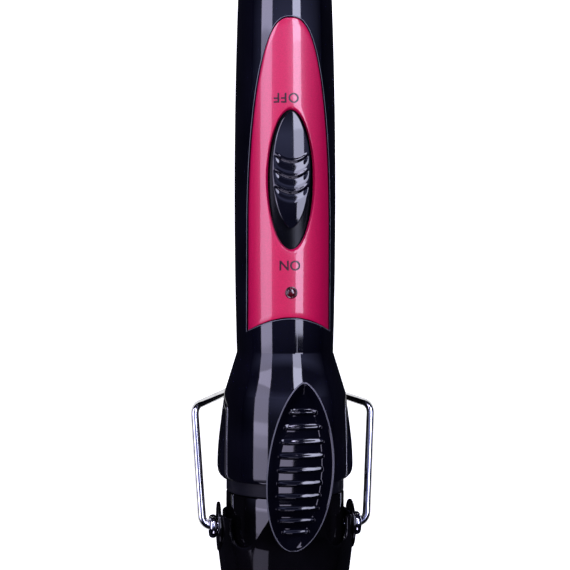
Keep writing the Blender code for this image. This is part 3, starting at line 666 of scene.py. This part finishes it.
def make_legends():
    """ON and OFF in a plain sans face, which read from the barrel's side."""
    for word, x, y, spacing in (("OFF", -1.25 * MM, 113.9 * MM, 1.1), ("ON", -0.4 * MM, 70.2 * MM, 1.0)):
        curve = bpy.data.curves.new(word.lower() + "_legend", "FONT")
        curve.body = word
        curve.size = 3.6 * MM
        curve.align_x = "CENTER"
        curve.align_y = "CENTER"
        curve.offset = 0.06 * MM
        curve.extrude = 0.02 * MM
        curve.space_character = spacing
        curve.resolution_u = 4
        flat = modified(curve)
        for vert in flat.vertices:
            skin = on_handle(x - vert.co.x, y - vert.co.y)
            skin.z += vert.co.z + 0.01 * MM
            vert.co = skin
        settle(word.lower() + "_legend", flat, "ink", "root", sharp=None)


def make_lamp():
    """Lamp dome in a dark ring."""
    top = handle_radius(LAMP_Y)
    bezel = [(1.62, -0.6), (1.62, 0.0), (1.54, 0.07), (1.38, 0.1), (1.22, 0.07), (1.14, 0.0), (1.14, -0.6)]
    turns = [math.pi / 2 * i / 10 for i in range(1, 11)]
    dome = [(0.0, 0.4)] + [(1.14 * math.sin(turn), 0.4 * math.cos(turn)) for turn in turns]
    dome += [(1.14, -0.5), (0.0, -0.5)]
    for name, profile, replaced in (("lamp_bezel", bezel, ()), ("lamp_dome", dome, ["led_lens"])):
        mesh = turned_mesh(name, in_mm(*profile), 48)
        turn_up(mesh, (0, LAMP_Y, top))
        settle(name, mesh, "lamp", "root", replaced, 60)


def make_slider():
    """Leaf-shaped switch knob with three chevron steps, and its stem."""
    half_x, half_y = SLIDER_HALF
    steps = [offset * MM for offset in (3.4, -0.6, -4.6)]
    edge_drop = 0.1 * MM
    columns = [-1 + 2 * i / 48 for i in range(49)]

    def chevron(x, y):
        """Each step falls sharply toward the barrel and climbs back slowly."""
        level = 0.0
        for middle in steps:
            behind = middle - 1.1 * MM + 2.4 * MM * (x / half_x) ** 2 - y
            if -0.7 * MM < behind < 3.2 * MM:
                crest = smoothstep(1 + behind / (0.7 * MM)) * smoothstep(1 - behind / (0.7 * MM))
                fall = smoothstep(behind / (0.8 * MM)) * smoothstep(1 - (behind - 0.3 * MM) / (2.9 * MM))
                level += 0.2 * MM * crest - 0.42 * MM * fall
        return level

    def top_height(x, y):
        crown = x ** 2 / (2 * 17 * MM) + 0.9 * MM * (y / half_y) ** 2
        inside = smoothstep(2.6 * (1 - abs(x) / half_x))
        return SLIDER_TOP - crown + chevron(x, y) * inside

    work = bmesh.new()
    rows = []
    for j in range(441):
        y = -half_y * math.cos(math.pi * j / 440)
        width = half_x * max(0.0, 1 - (y / half_y) ** 2) ** 0.58
        row = [work.verts.new((-width, SLIDER_Y + y, SLIDER_BASE))]
        for column in columns:
            x = column * width
            height = top_height(x, y) - (edge_drop if abs(column) == 1 else 0.0)
            reach = 1.0 if abs(column) == 1 else 1 - 0.08 * MM / max(width, 0.3 * MM)
            row.append(work.verts.new((x * reach, SLIDER_Y + y, height)))
        row.append(work.verts.new((width, SLIDER_Y + y, SLIDER_BASE)))
        rows.append(row)
    add_strips(work, rows, closed=True)
    bmesh.ops.remove_doubles(work, verts=work.verts, dist=0.01 * MM)
    leaf = mesh_of(work, "leaf")
    stem = box_outline(1.5 * MM, SLIDER_Y - 2.5 * MM, SLIDER_Y + 2.5 * MM)
    stem = prism(stem, 8.3 * MM, SLIDER_BASE + 0.3 * MM)
    knob = joined("slider_knob", [leaf, stem])
    settle("slider_knob", knob, "black", "switch_knob", ["switch_slider"], 50)


# ---- barrel, ring, tip, gland

def make_barrel():
    front, rear = BARREL_LOW.y, BARREL_HIGH.y
    bore = BARREL_RADIUS - 0.8 * MM
    profile = [(BARREL_RADIUS - 0.5 * MM, rear), (BARREL_RADIUS - 0.12 * MM, rear - 0.2 * MM),
               (BARREL_RADIUS, rear - 0.5 * MM)]
    profile += [(BARREL_RADIUS, rear + (front - rear) * i / 30) for i in range(1, 30)]
    profile += [(BARREL_RADIUS, front + 0.5 * MM), (BARREL_RADIUS - 0.4 * MM, front), (bore, front),
                (bore, rear)]
    settle("barrel_skin", turned_mesh("barrel_skin", profile), "barrel", "root",
           ["barrel_tube"])

    ring_front, ring_rear = RING_LOW.y, RING_HIGH.y
    collar = rear + 0.1 * MM
    spigot = bore - 0.3 * MM
    ring = [(RING_RADIUS, ring_rear), (RING_RADIUS, collar + 0.25 * MM), (RING_RADIUS - 0.25 * MM, collar),
            (spigot, collar), (spigot, ring_front), (12 * MM, ring_front), (12 * MM, ring_rear)]
    settle("insulating_collar", turned_mesh("insulating_collar", ring), "ring", "root",
           ["insulating_ring"])


def make_tip():
    """Cool tip with a gripping rim, fine flutes on the rim and a rest flat under it."""
    outline = in_mm((16.0, -144.35), (16.1, -149.5), (17.0, -152.6), (18.7, -155.0), (19.5, -156.6),
                    (19.5, -159.4), (18.8, -161.4), (17.5, -165), (16.3, -168), (15.2, -169.4))
    outside = shoulder_curve(outline + [(13.8 * MM, TIP_FRONT_Y)], 6)
    profile = in_mm((14.8, -136.5), (14.8, -144.3), (15.8, -144.3)) + outside
    profile += [(9.5 * MM, TIP_FRONT_Y), (9.2 * MM, TIP_FRONT_Y + 0.5 * MM), (0.0, TIP_FRONT_Y + 0.6 * MM)]
    mesh = turned_mesh("tip", profile + in_mm((0.0, -166), (12.6, -164), (12.6, -136.5)))
    flutes = 40
    for vert in mesh.vertices:
        radius = math.hypot(vert.co.x, vert.co.z)
        if radius > 16.2 * MM:
            share = smoothstep((radius - 16.6 * MM) / (2.5 * MM))
            turn = math.atan2(vert.co.x, vert.co.z)
            groove = 0.22 * MM * share * (0.5 - 0.5 * math.cos(flutes * turn)) ** 3
            vert.co.x *= 1 - groove / radius
            vert.co.z *= 1 - groove / radius
        vert.co.z = max(vert.co.z, -AXIS_HEIGHT)
    settle("cool_tip_shell", mesh, "satin", "root", ["cool_tip"])


def make_gland():
    """Swivel gland with ribs round its nose."""
    rear = GLAND_REAR_Y
    nose = [(2.6 * MM, rear), (3.4 * MM, rear), (3.7 * MM, rear - 0.3 * MM)]
    for i in range(3):
        y = rear - (0.5 + i * 1.1) * MM
        radius = (3.9 + i * 0.75) * MM
        nose += [(radius, y), (radius + 0.15 * MM, y - 0.5 * MM), (radius - 0.1 * MM, y - 0.7 * MM)]
    nose += [(6.0 * MM, rear - 4.2 * MM), (5.9 * MM, rear - 4.65 * MM), (4.9 * MM, rear - 4.7 * MM)]
    nose += in_mm((4.9, 162.1), (7.2, 162.1), (7.2, 159.6), (3.6, 159.6), (3.6, 148), (2.6, 148))
    gland = turned_mesh("gland", nose, 96)
    settle("gland", gland, "satin", "swivel", ["swivel_gland"])


# ---- clamp and lever

def lever_arc_height(radius, y):
    reach = min(LEVER_ARC_CENTRE[0] - y, 0.95 * radius)
    return LEVER_ARC_CENTRE[1] + math.sqrt(radius ** 2 - reach ** 2)


def clamp_radius(angle, y):
    flare = smoothstep((y - CLAMP_FLARE_START_Y) / (CLAMP_FLARE_END_Y - CLAMP_FLARE_START_Y))
    side = smoothstep((abs(angle) - math.radians(35)) / math.radians(35))
    return CLAMP_INNER_RADIUS + (CLAMP_FLARE_RADIUS - CLAMP_INNER_RADIUS) * flare * side


def neck_height(y):
    """Centre line of the neck's underside, which leaves the sheet and follows the lever."""
    lift = lever_arc_height(NECK_TOP_RADIUS - CLAMP_SHEET, y) - CLAMP_INNER_RADIUS
    return 0.5 * (lift + math.sqrt(lift ** 2 + (0.7 * MM) ** 2)) * smoothstep((y + 9 * MM) / (5 * MM))


def clamp_spot(angle, y):
    """A point of the clamp's inner face."""
    radius = clamp_radius(angle, y)
    x = radius * math.sin(angle)
    z = radius * math.cos(angle)
    if abs(angle) < SLOT_ANGLES[0] + 0.01:
        centre = smoothstep(1.6 - abs(angle) / SLOT_ANGLES[0] * 1.2)
        free = smoothstep((y - SLOT_Y) / (9 * MM))
        z += neck_height(y) * max(free, centre)
        drop = CLAMP_INNER_RADIUS - radius * math.cos(angle)
        z += drop * 0.85 * free
        narrow = 1 - 0.38 * smoothstep((y - SLOT_Y) / (14 * MM))
        x *= narrow
    return Vector((x, y, z))


def make_clamp():
    """One sheet: jaw, rounded nose, the neck between two U slots, and an ear on each side."""
    front = CLAMP_FRONT_Y
    slot_low, slot_high = SLOT_ANGLES
    side = [math.pi / 2 + (slot_high - math.pi / 2) * i / 8 for i in range(8)]
    side += [slot_high + (slot_low - slot_high) * i / 12 for i in range(12)]
    centre = [-slot_low + 2 * slot_low * i / 32 for i in range(33)]
    columns = [-angle for angle in side] + centre + side[::-1]
    body_rows = 130

    def slot_end(angle):
        share = (abs(angle) - slot_low) / (slot_high - slot_low)
        if share <= 0 or share >= 1:
            return SLOT_Y + 3.2 * MM
        return SLOT_Y + 3.2 * MM * (1 - math.sqrt(max(0.0, 1 - (2 * share - 1) ** 2)))

    def jaw_angle(angle, y):
        open_up = smoothstep((y - CLAMP_OPENING_Y[0]) / (CLAMP_OPENING_Y[1] - CLAMP_OPENING_Y[0]))
        nose = math.sqrt(max(0.0, 1 - max(0.0, 1 - (y - front) / (12 * MM)) ** 2))
        half = CLAMP_HALF_ANGLE + (math.pi / 2 - CLAMP_HALF_ANGLE) * open_up
        return angle / (math.pi / 2) * half * (0.3 + 0.7 * nose)

    work = bmesh.new()
    rows = []
    for j in range(body_rows + 1):
        share = j / body_rows
        row = []
        for angle in columns:
            end = slot_end(angle)
            y = front + (end - front) * share ** 1.15
            row.append(work.verts.new(clamp_spot(jaw_angle(angle, y), y)))
        rows.append(row)
    add_strips(work, rows)

    def extend(low, high, end_y, count):
        """Carry on the sheet between two angles, from its slotted edge to a place along the iron."""
        chosen = [i for i, angle in enumerate(columns) if low - 1e-6 <= angle <= high + 1e-6]
        strip = [[rows[-1][i] for i in chosen]]
        for j in range(1, count + 1):
            row = []
            for i in chosen:
                start = slot_end(columns[i])
                y = start + (end_y - start) * j / count
                row.append(work.verts.new(clamp_spot(columns[i], y)))
            strip.append(row)
        add_strips(work, strip)

    extend(-slot_low, slot_low, NECK_END_Y, 50)
    extend(-math.pi / 2, -slot_high, EAR_SHEET_END_Y, 8)
    extend(slot_high, math.pi / 2, EAR_SHEET_END_Y, 8)
    mesh = mesh_of(work, "clamp_sheet", outward=False)
    mesh = modified(mesh, ("SOLIDIFY", {"thickness": CLAMP_SHEET, "offset": 1.0}),
                    ("BEVEL", {"width": 0.16 * MM, "segments": 2, "limit_method": "ANGLE",
                               "angle_limit": math.radians(60)}))
    settle("clamp_sheet", mesh, "clamp", "clamp_body", ["clamp"], 45)

    for side, tag in ((-1, "left"), (1, "right")):
        inner = CLAMP_FLARE_RADIUS - 0.02 * MM
        outer = CLAMP_FLARE_RADIUS + CLAMP_SHEET + 0.02 * MM
        ring = [(2.2 * MM, outer), (EAR_RADIUS - 0.25 * MM, outer),
                (EAR_RADIUS - 0.07 * MM, outer - 0.08 * MM), (EAR_RADIUS, outer - 0.25 * MM),
                (EAR_RADIUS, inner + 0.2 * MM), (EAR_RADIUS - 0.15 * MM, inner), (2.2 * MM, inner)]
        ear = turned_mesh("ear", ring, 96)
        turn_out(ear, side)
        settle("clamp_ear_" + tag, ear, "clamp", "clamp_body")


def on_lever(x, along, height):
    """A point of the lever, by its place along the arc from the middle and its height over the rim."""
    angle = sum(LEVER_ARC_ENDS) / 2 - along / LEVER_ARC_RADIUS
    radius = LEVER_ARC_RADIUS + height
    centre_y, centre_z = LEVER_ARC_CENTRE
    return Vector((x, centre_y - radius * math.sin(angle), centre_z + radius * math.cos(angle)))


def lever_half_width(along):
    """The lever is rounder at the barrel's end than at the handle's."""
    fullness = 0.64 if along > 0 else 0.52
    return 0.995 * LEVER_HALF[0] * max(0.0, 1 - (along / LEVER_ARC_HALF) ** 2) ** fullness


def lever_relief(x, along):
    """Height of the lever's top face: a dish inside a smooth border, with cross ridges in it."""
    width = lever_half_width(along)
    slope = (lever_half_width(along + 0.2 * MM) - lever_half_width(along - 0.2 * MM)) / (0.4 * MM)
    inward = max(0.0, width - abs(x)) / math.sqrt(1 + slope ** 2)
    floor = smoothstep((inward - 0.3 * MM) / (2.9 * MM))
    level = -(0.88 * MM + x ** 2 / (2 * 60 * MM)) * floor
    for k in range(RIDGE_COUNT):
        middle = (k - (RIDGE_COUNT - 1) / 2) * RIDGE_PITCH - 0.5 * MM
        near = along - middle
        if abs(near) > 1.6 * MM:
            continue
        reach = min(5.5 * MM, lever_half_width(middle) - 2.3 * MM)
        end = smoothstep((reach - abs(x)) / (0.7 * MM) + 0.4)
        crown = 0.8 * MM - 0.4 * MM * (x / (5.5 * MM)) ** 2
        level += crown * end * math.exp(-(abs(near) / (0.55 * MM)) ** 2.2)
    return level


def make_lever():
    """Thumb lever: dished leaf with a fine rim and cross ridges, and a plain belly."""
    def along_of(share):
        """Place along the arc, with rows closer together toward both ends."""
        return LEVER_ARC_HALF * 0.5 * (2 * share - 1 - math.cos(math.pi * share))

    def place(across, share):
        along = along_of(share)
        x = (2 * across - 1) * lever_half_width(along)
        return on_lever(x, along, lever_relief(x, along) - 0.12 * MM)

    plate = grid_mesh("lever_top", 64, 400, place)
    plate = modified(plate, ("SOLIDIFY", {"thickness": 0.4 * MM, "offset": -1.0}))
    settle("lever_plate", plate, "black", "clamp_body", ["thumb_lever"], 50)

    outline = []
    for i in range(280):
        turn = 2 * math.pi * i / 280
        along = (LEVER_ARC_HALF - 0.2 * MM) * math.sin(turn)
        x = math.copysign(max(0.0, lever_half_width(along) - 0.16 * MM), math.cos(turn))
        outline.append(on_lever(x, along, -0.24 * MM))
    # The rim bead is lighter grey than the black lever: a painted highlight along its edge.
    rim = bead_mesh(outline, 0.2 * MM, 12)
    settle("lever_rim", rim, "rim", "clamp_body", sharp=None)

    def belly(across, share):
        along = along_of(share) * 0.985
        width = lever_half_width(along)
        x = (2 * across - 1) * width * 0.97
        inward = width - abs(x)
        fade = smoothstep((along + LEVER_ARC_HALF) / (7 * MM))
        depth = 0.3 * MM + 1.25 * MM * smoothstep(inward / (2.2 * MM)) * fade
        spot = on_lever(x, along, -depth)
        if spot.y < 0.5 * MM:
            clear = CLAMP_INNER_RADIUS + CLAMP_SHEET + 0.05 * MM
            spot.z = max(spot.z, math.sqrt(clear ** 2 - spot.x ** 2))
        return spot

    under = grid_mesh("lever_belly", 40, 120, belly)
    under = modified(under, ("SOLIDIFY", {"thickness": 0.2 * MM, "offset": 1.0}))
    settle("lever_belly", under, "black", "clamp_body")

    profile = in_mm((0.0, 1.1), (0.9, 1.1), (0.9, 0.0), (1.9, 0.0), (1.9, -0.3), (1.6, -0.75),
                    (0.9, -1.0), (0.0, -1.0))
    under_neck = NECK_TOP_RADIUS - CLAMP_SHEET
    for tag, y in (("front", 15.5 * MM), ("rear", 26.5 * MM)):
        tilt = math.asin((LEVER_ARC_CENTRE[0] - y) / under_neck)
        slot = prism(box_outline(1.4 * MM, -2 * MM, -0.6 * MM), -0.25 * MM, 0.25 * MM)
        screw = with_cuts(turned_mesh("screw", profile, 40, closed=False), [slot])
        turn_up(screw, (0, y, lever_arc_height(under_neck, y)), tilt)
        name = "lever_screw_" + tag
        settle(name + "_head", screw, "steel", "clamp_body", [name])


def make_spring():
    """Leaf spring between barrel and neck, with its edges rounded."""
    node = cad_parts["clamp_spring"]
    edges = {"width": 0.1 * MM, "segments": 2, "limit_method": "ANGLE"}
    mesh = modified(node.data.copy(), ("BEVEL", edges))
    mesh.materials.clear()
    mesh.materials.append(FINISHES["steel"])
    piece = linked("leaf_spring", mesh)
    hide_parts("clamp_spring")
    low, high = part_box("clamp_spring")
    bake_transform(piece)


# ---- pivot, stand, screws

def make_eyelets():
    head_in, head_out = 18.48 * MM, EYELET_HIGH.x
    inner_x = EYELET_LOW.x
    dome = []
    for i in range(13):
        turn = math.pi * i / 12
        dome.append((2.05 * MM + 1.1 * MM * math.sin(turn) ** 0.8,
                     (head_in + head_out) / 2 + (head_out - head_in) / 2 * math.cos(turn)))
    profile = [(1.5 * MM, head_out - 0.25 * MM)] + dome
    profile += [(1.9 * MM, head_in), (1.9 * MM, inner_x), (1.5 * MM, inner_x)]
    for side, tag in ((-1, "left"), (1, "right")):
        mesh = turned_mesh("eyelet", profile, 72)
        turn_out(mesh, side)
        settle("eyelet_" + tag, mesh, "chrome", "root", ["pivot_eyelet_" + tag], 50)


def bend_corners(points, radius, steps=14):
    """Round the inner corners of a path."""
    path = [Vector(points[0])]
    for before, corner, after in zip(points, points[1:], points[2:]):
        corner = Vector(corner)
        back = (Vector(before) - corner).normalized()
        ahead = (Vector(after) - corner).normalized()
        half = back.angle(ahead) / 2
        centre = corner + (back + ahead).normalized() * radius / math.sin(half)
        reach = radius / math.tan(half)
        first, last = corner + back * reach - centre, corner + ahead * reach - centre
        path += [centre + radius * first.slerp(last, i / steps).normalized() for i in range(steps + 1)]
    path.append(Vector(points[-1]))
    return path


def make_stand():
    """Chrome wire bail, bent from one length."""
    right = [(17.1 * MM, 0, 0), (STAND_ARM_X[0], 0, 0), (STAND_ARM_X[1], *STAND_CORNER),
             (STAND_BAR_HALF, *STAND_BAR)]
    left = [(-x, y, z) for x, y, z in reversed(right)]
    mesh = bead_mesh(bend_corners(right + left, 3 * MM), WIRE_RADIUS, 28, cyclic=False)
    settle("stand_wire", mesh, "chrome", "stand", ["stand_bail"], 50)


def make_screws():
    """Cross-head screws in the wells under the handle."""
    profile = in_mm((0.0, 10.0), (0.5, 9.7), (1.2, 8.8), (1.2, 0.0), (2.6, 0.0), (2.6, -0.5),
                    (2.35, -1.2), (1.7, -1.7), (0.9, -1.9), (0.0, -1.9))
    arm, half = 1.35 * MM, 0.3 * MM
    cross = [(arm, half), (half, half), (half, arm)]
    for i in range(9):
        cross.append((-cross[i][1], cross[i][0]))
    for tag in ("front", "middle", "rear"):
        name = "housing_screw_" + tag
        low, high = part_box(name)
        centre_y = (low.y + high.y) / 2
        seat = low.z - AXIS_HEIGHT + 1.9 * MM
        mesh = turned_mesh(name, profile, 48, closed=False)
        turn_up(mesh, (0, centre_y, seat))
        slot = prism([(x, centre_y + y) for x, y in cross], seat - 3 * MM, seat - 0.9 * MM)
        settle("cross_screw_" + tag, with_cuts(mesh, [slot]), "steel", "root", [name])


def dress_cad():
    """Give the CAD pieces that stay their finishes."""
    looks = {
        "barrel": ["hinge_bracket"],
        "satin": ["switch_body", "swivel_retainer"],
        "board": ["control_board"],
        "ceramic": ["resistor", "ptc_heater"],
        "lamp": ["led"],
        "aluminium": ["heater_block_upper", "heater_block_lower"],
        "sleeve": ["heater_lead_live", "heater_lead_neutral"],
        "brass": ["electrode_live", "electrode_neutral", "slip_ring_live", "slip_ring_neutral",
                  "contact_brush_live", "contact_brush_neutral"],
    }
    for look, names in looks.items():
        for name in names:
            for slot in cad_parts[name].material_slots:
                slot.material = FINISHES[look]


# ---- camera, lights, stage

def view_direction(angle):
    """Direction across the iron, by its angle from the camera's axis, positive to the right."""
    turn = angle - VIEW_TURN
    return Vector((math.sin(turn), 0.0, math.cos(turn)))


def aim(item, place, target, up):
    back = (place - target).normalized()
    right = up.cross(back).normalized()
    upright = back.cross(right)
    rotation = Matrix((right, upright, back)).transposed().to_4x4()
    item.matrix_world = Matrix.Translation(place) @ rotation


def make_camera():
    data = bpy.data.cameras.new("camera")
    data.lens = CAMERA_LENS
    data.sensor_width = 36
    data.clip_start = 0.01
    camera = linked("camera", data)
    target = Vector((0, CAMERA_Y, AXIS_HEIGHT))
    aim(camera, target + view_direction(0.0) * CAMERA_DISTANCE, target, Vector((0, 1, 0)))
    bpy.context.scene.camera = camera


def area_light(name, place, target, size, radiance, colour):
    """A soft box that gives the same radiance whatever its size."""
    data = bpy.data.lights.new(name, "AREA")
    data.shape = "RECTANGLE"
    data.size, data.size_y = size
    data.energy = radiance * math.pi * size[0] * size[1]
    data.color = colour
    light = linked(name, data)
    aim(light, place, target, Vector((0, 1, 0)))
    light.visible_camera = False
    return light


def light_only(light, *names):
    """Let a light reach only the named pieces."""
    group = bpy.data.collections.new(light.name + "_pieces")
    for name in names:
        group.objects.link(bpy.data.objects[name])
    light.light_linking.receiver_collection = group


def strip_light(name, degrees, reach, radiance, colour):
    """A soft box along the iron, between two angles from the camera's axis and two places in mm."""
    reach = [end * MM for end in reach]
    middle = math.radians(sum(degrees) / 2)
    half = math.radians((degrees[1] - degrees[0]) / 2)
    target = Vector((0, sum(reach) / 2, AXIS_HEIGHT))
    size = (2 * LIGHT_DISTANCE * math.tan(half), reach[1] - reach[0])
    place = target + view_direction(middle) * LIGHT_DISTANCE
    area_light(name, place, target, size, radiance, colour)


def make_lights():
    right_strips = (((24, 42), (-2, 130), 7.0), ((18, 37), (130, 280), 7.0),
                    ((18, 37), (280, 560), 10.0), ((27.5, 29), (-60, -2), 4.0))
    for count, (degrees, reach, radiance) in enumerate(right_strips):
        strip_light(f"right_strip_{count}", degrees, reach, radiance, RIGHT_TINT)
    left_strips = (((-200, -125), 0.9), ((-125, -30), 3.0), ((-30, -12), 4.2), ((-12, 14), 5.6),
                   ((14, 290), 3.6), ((290, 600), 6.2))
    for count, (reach, radiance) in enumerate(left_strips):
        strip_light(f"left_strip_{count}", (-57, -30), reach, radiance, LEFT_TINT)
    lever_middle = Vector((0, LEVER_Y, AXIS_HEIGHT + 32 * MM))
    boxes = (("lever_box", 5, -56, (110, 260), 3.2), ("ridge_box", 4, 52, (150, 32), 22.0),
             ("ridge_box_left", -13, 52, (200, 26), 4.5), ("step_box", 0, -68, (900, 150), 5.0))
    for name, across, lift, size, radiance in boxes:
        lift = math.radians(lift)
        away = view_direction(math.radians(across)) * math.cos(lift) + Vector((0, math.sin(lift), 0))
        size = [side * MM for side in size]
        place = lever_middle + away * LIGHT_DISTANCE
        box = area_light(name, place, lever_middle, size, radiance, LEFT_TINT)
        if name == "step_box":
            light_only(box, "slider_knob")
    under_stand = Vector((0, 20 * MM, 0.5 * MM))
    above = under_stand + Vector((0, 0, 1))
    table = area_light("table_glow", under_stand, above, (0.6, 0.6), 0.9, (1, 1, 1))
    light_only(table, "stand_wire")
    fill_target = Vector((0, CAMERA_Y, AXIS_HEIGHT))
    fill = area_light("fill", fill_target + view_direction(0) * 900 * MM, fill_target, (1.0, 1.0), 0.9,
                      (1.0, 0.97, 0.95))
    fill.visible_glossy = False
    for side, end in ((-1, -1), (1, -1), (-1, 1), (1, 1)):
        place = fill_target + Vector((side * 0.6, end * 0.95, 0.5))
        corner = area_light(f"corner_box_{side}_{end}", place, fill_target, (0.4, 0.4), 2.5, LEFT_TINT)
        corner.visible_diffuse = False
        light_only(corner, "barrel_skin", "upper_shell", "lower_shell", "cool_tip_shell")


def make_world():
    """A dim blue surround that varies along the iron and fades out at the horizon."""
    world = bpy.data.worlds.new("studio")
    world.use_nodes = True
    tree = world.node_tree
    background = tree.nodes["Background"]
    background.inputs["Color"].default_value = (0.48, 0.52, 1.0, 1.0)
    direction = add_node(tree, "TexCoord").outputs["Generated"]
    axes = add_node(tree, "SeparateXYZ", Vector=direction)
    fade = add_node(tree, "MapRange", Value=axes.outputs["Y"], From_Min=-0.3, From_Max=0.7)
    glow = add_node(tree, "ValToRGB", Fac=fade.outputs["Result"])
    levels = glow.color_ramp.elements
    levels[0].color = (0.01, 0.01, 0.01, 1.0)
    levels[1].color = (0.08, 0.08, 0.08, 1.0)
    for position, level in ((0.18, 0.05), (0.25, 0.12), (0.35, 0.25), (0.56, 0.9), (0.68, 0.12)):
        levels.new(position).color = (level, level, level, 1.0)
    level = add_node(tree, "Math")
    level.operation = "MULTIPLY"
    level.use_clamp = True
    tree.links.new(glow.outputs["Color"], level.inputs[0])
    tree.links.new(axes.outputs["Z"], level.inputs[1])
    tree.links.new(level.outputs["Value"], background.inputs["Strength"])
    bpy.context.scene.world = world


def make_stage():
    """A pale floor that shines white behind the iron and stays dim in its gloss."""
    work = bmesh.new()
    bmesh.ops.create_grid(work, x_segments=2, y_segments=2, size=6.0)
    mesh = mesh_of(work, "floor", outward=False)
    floor = linked("floor", mesh)
    material = bpy.data.materials.new("floor")
    material.use_nodes = True
    tree = material.node_tree
    diffuse = tree.nodes["Principled BSDF"]
    diffuse.inputs["Base Color"].default_value = (0.8, 0.8, 0.8, 1.0)
    diffuse.inputs["Roughness"].default_value = 0.9
    diffuse.inputs["Specular IOR Level"].default_value = 0.0
    seen = add_node(tree, "LightPath").outputs["Is Camera Ray"]
    glow = add_node(tree, "Emission", Strength=seen)
    dark = add_node(tree, "MixShader", Fac=seen)
    shade = add_node(tree, "BsdfDiffuse", Color=(0.01, 0.01, 0.013, 1.0))
    tree.links.new(shade.outputs["BSDF"], dark.inputs[1])
    total = add_node(tree, "AddShader")
    tree.links.new(diffuse.outputs["BSDF"], total.inputs[0])
    tree.links.new(glow.outputs["Emission"], total.inputs[1])
    tree.links.new(total.outputs["Shader"], dark.inputs[2])
    tree.links.new(dark.outputs["Shader"], tree.nodes["Material Output"].inputs["Surface"])
    mesh.materials.append(material)


make_camera()
dress_cad()
make_shells()
make_panel()
make_legends()
make_lamp()
make_slider()
make_barrel()
make_tip()
make_gland()
make_clamp()
make_lever()
make_spring()
make_eyelets()
make_stand()
make_screws()
make_lights()
make_world()
make_stage()
bpy.context.scene.view_settings.view_transform = "Standard"
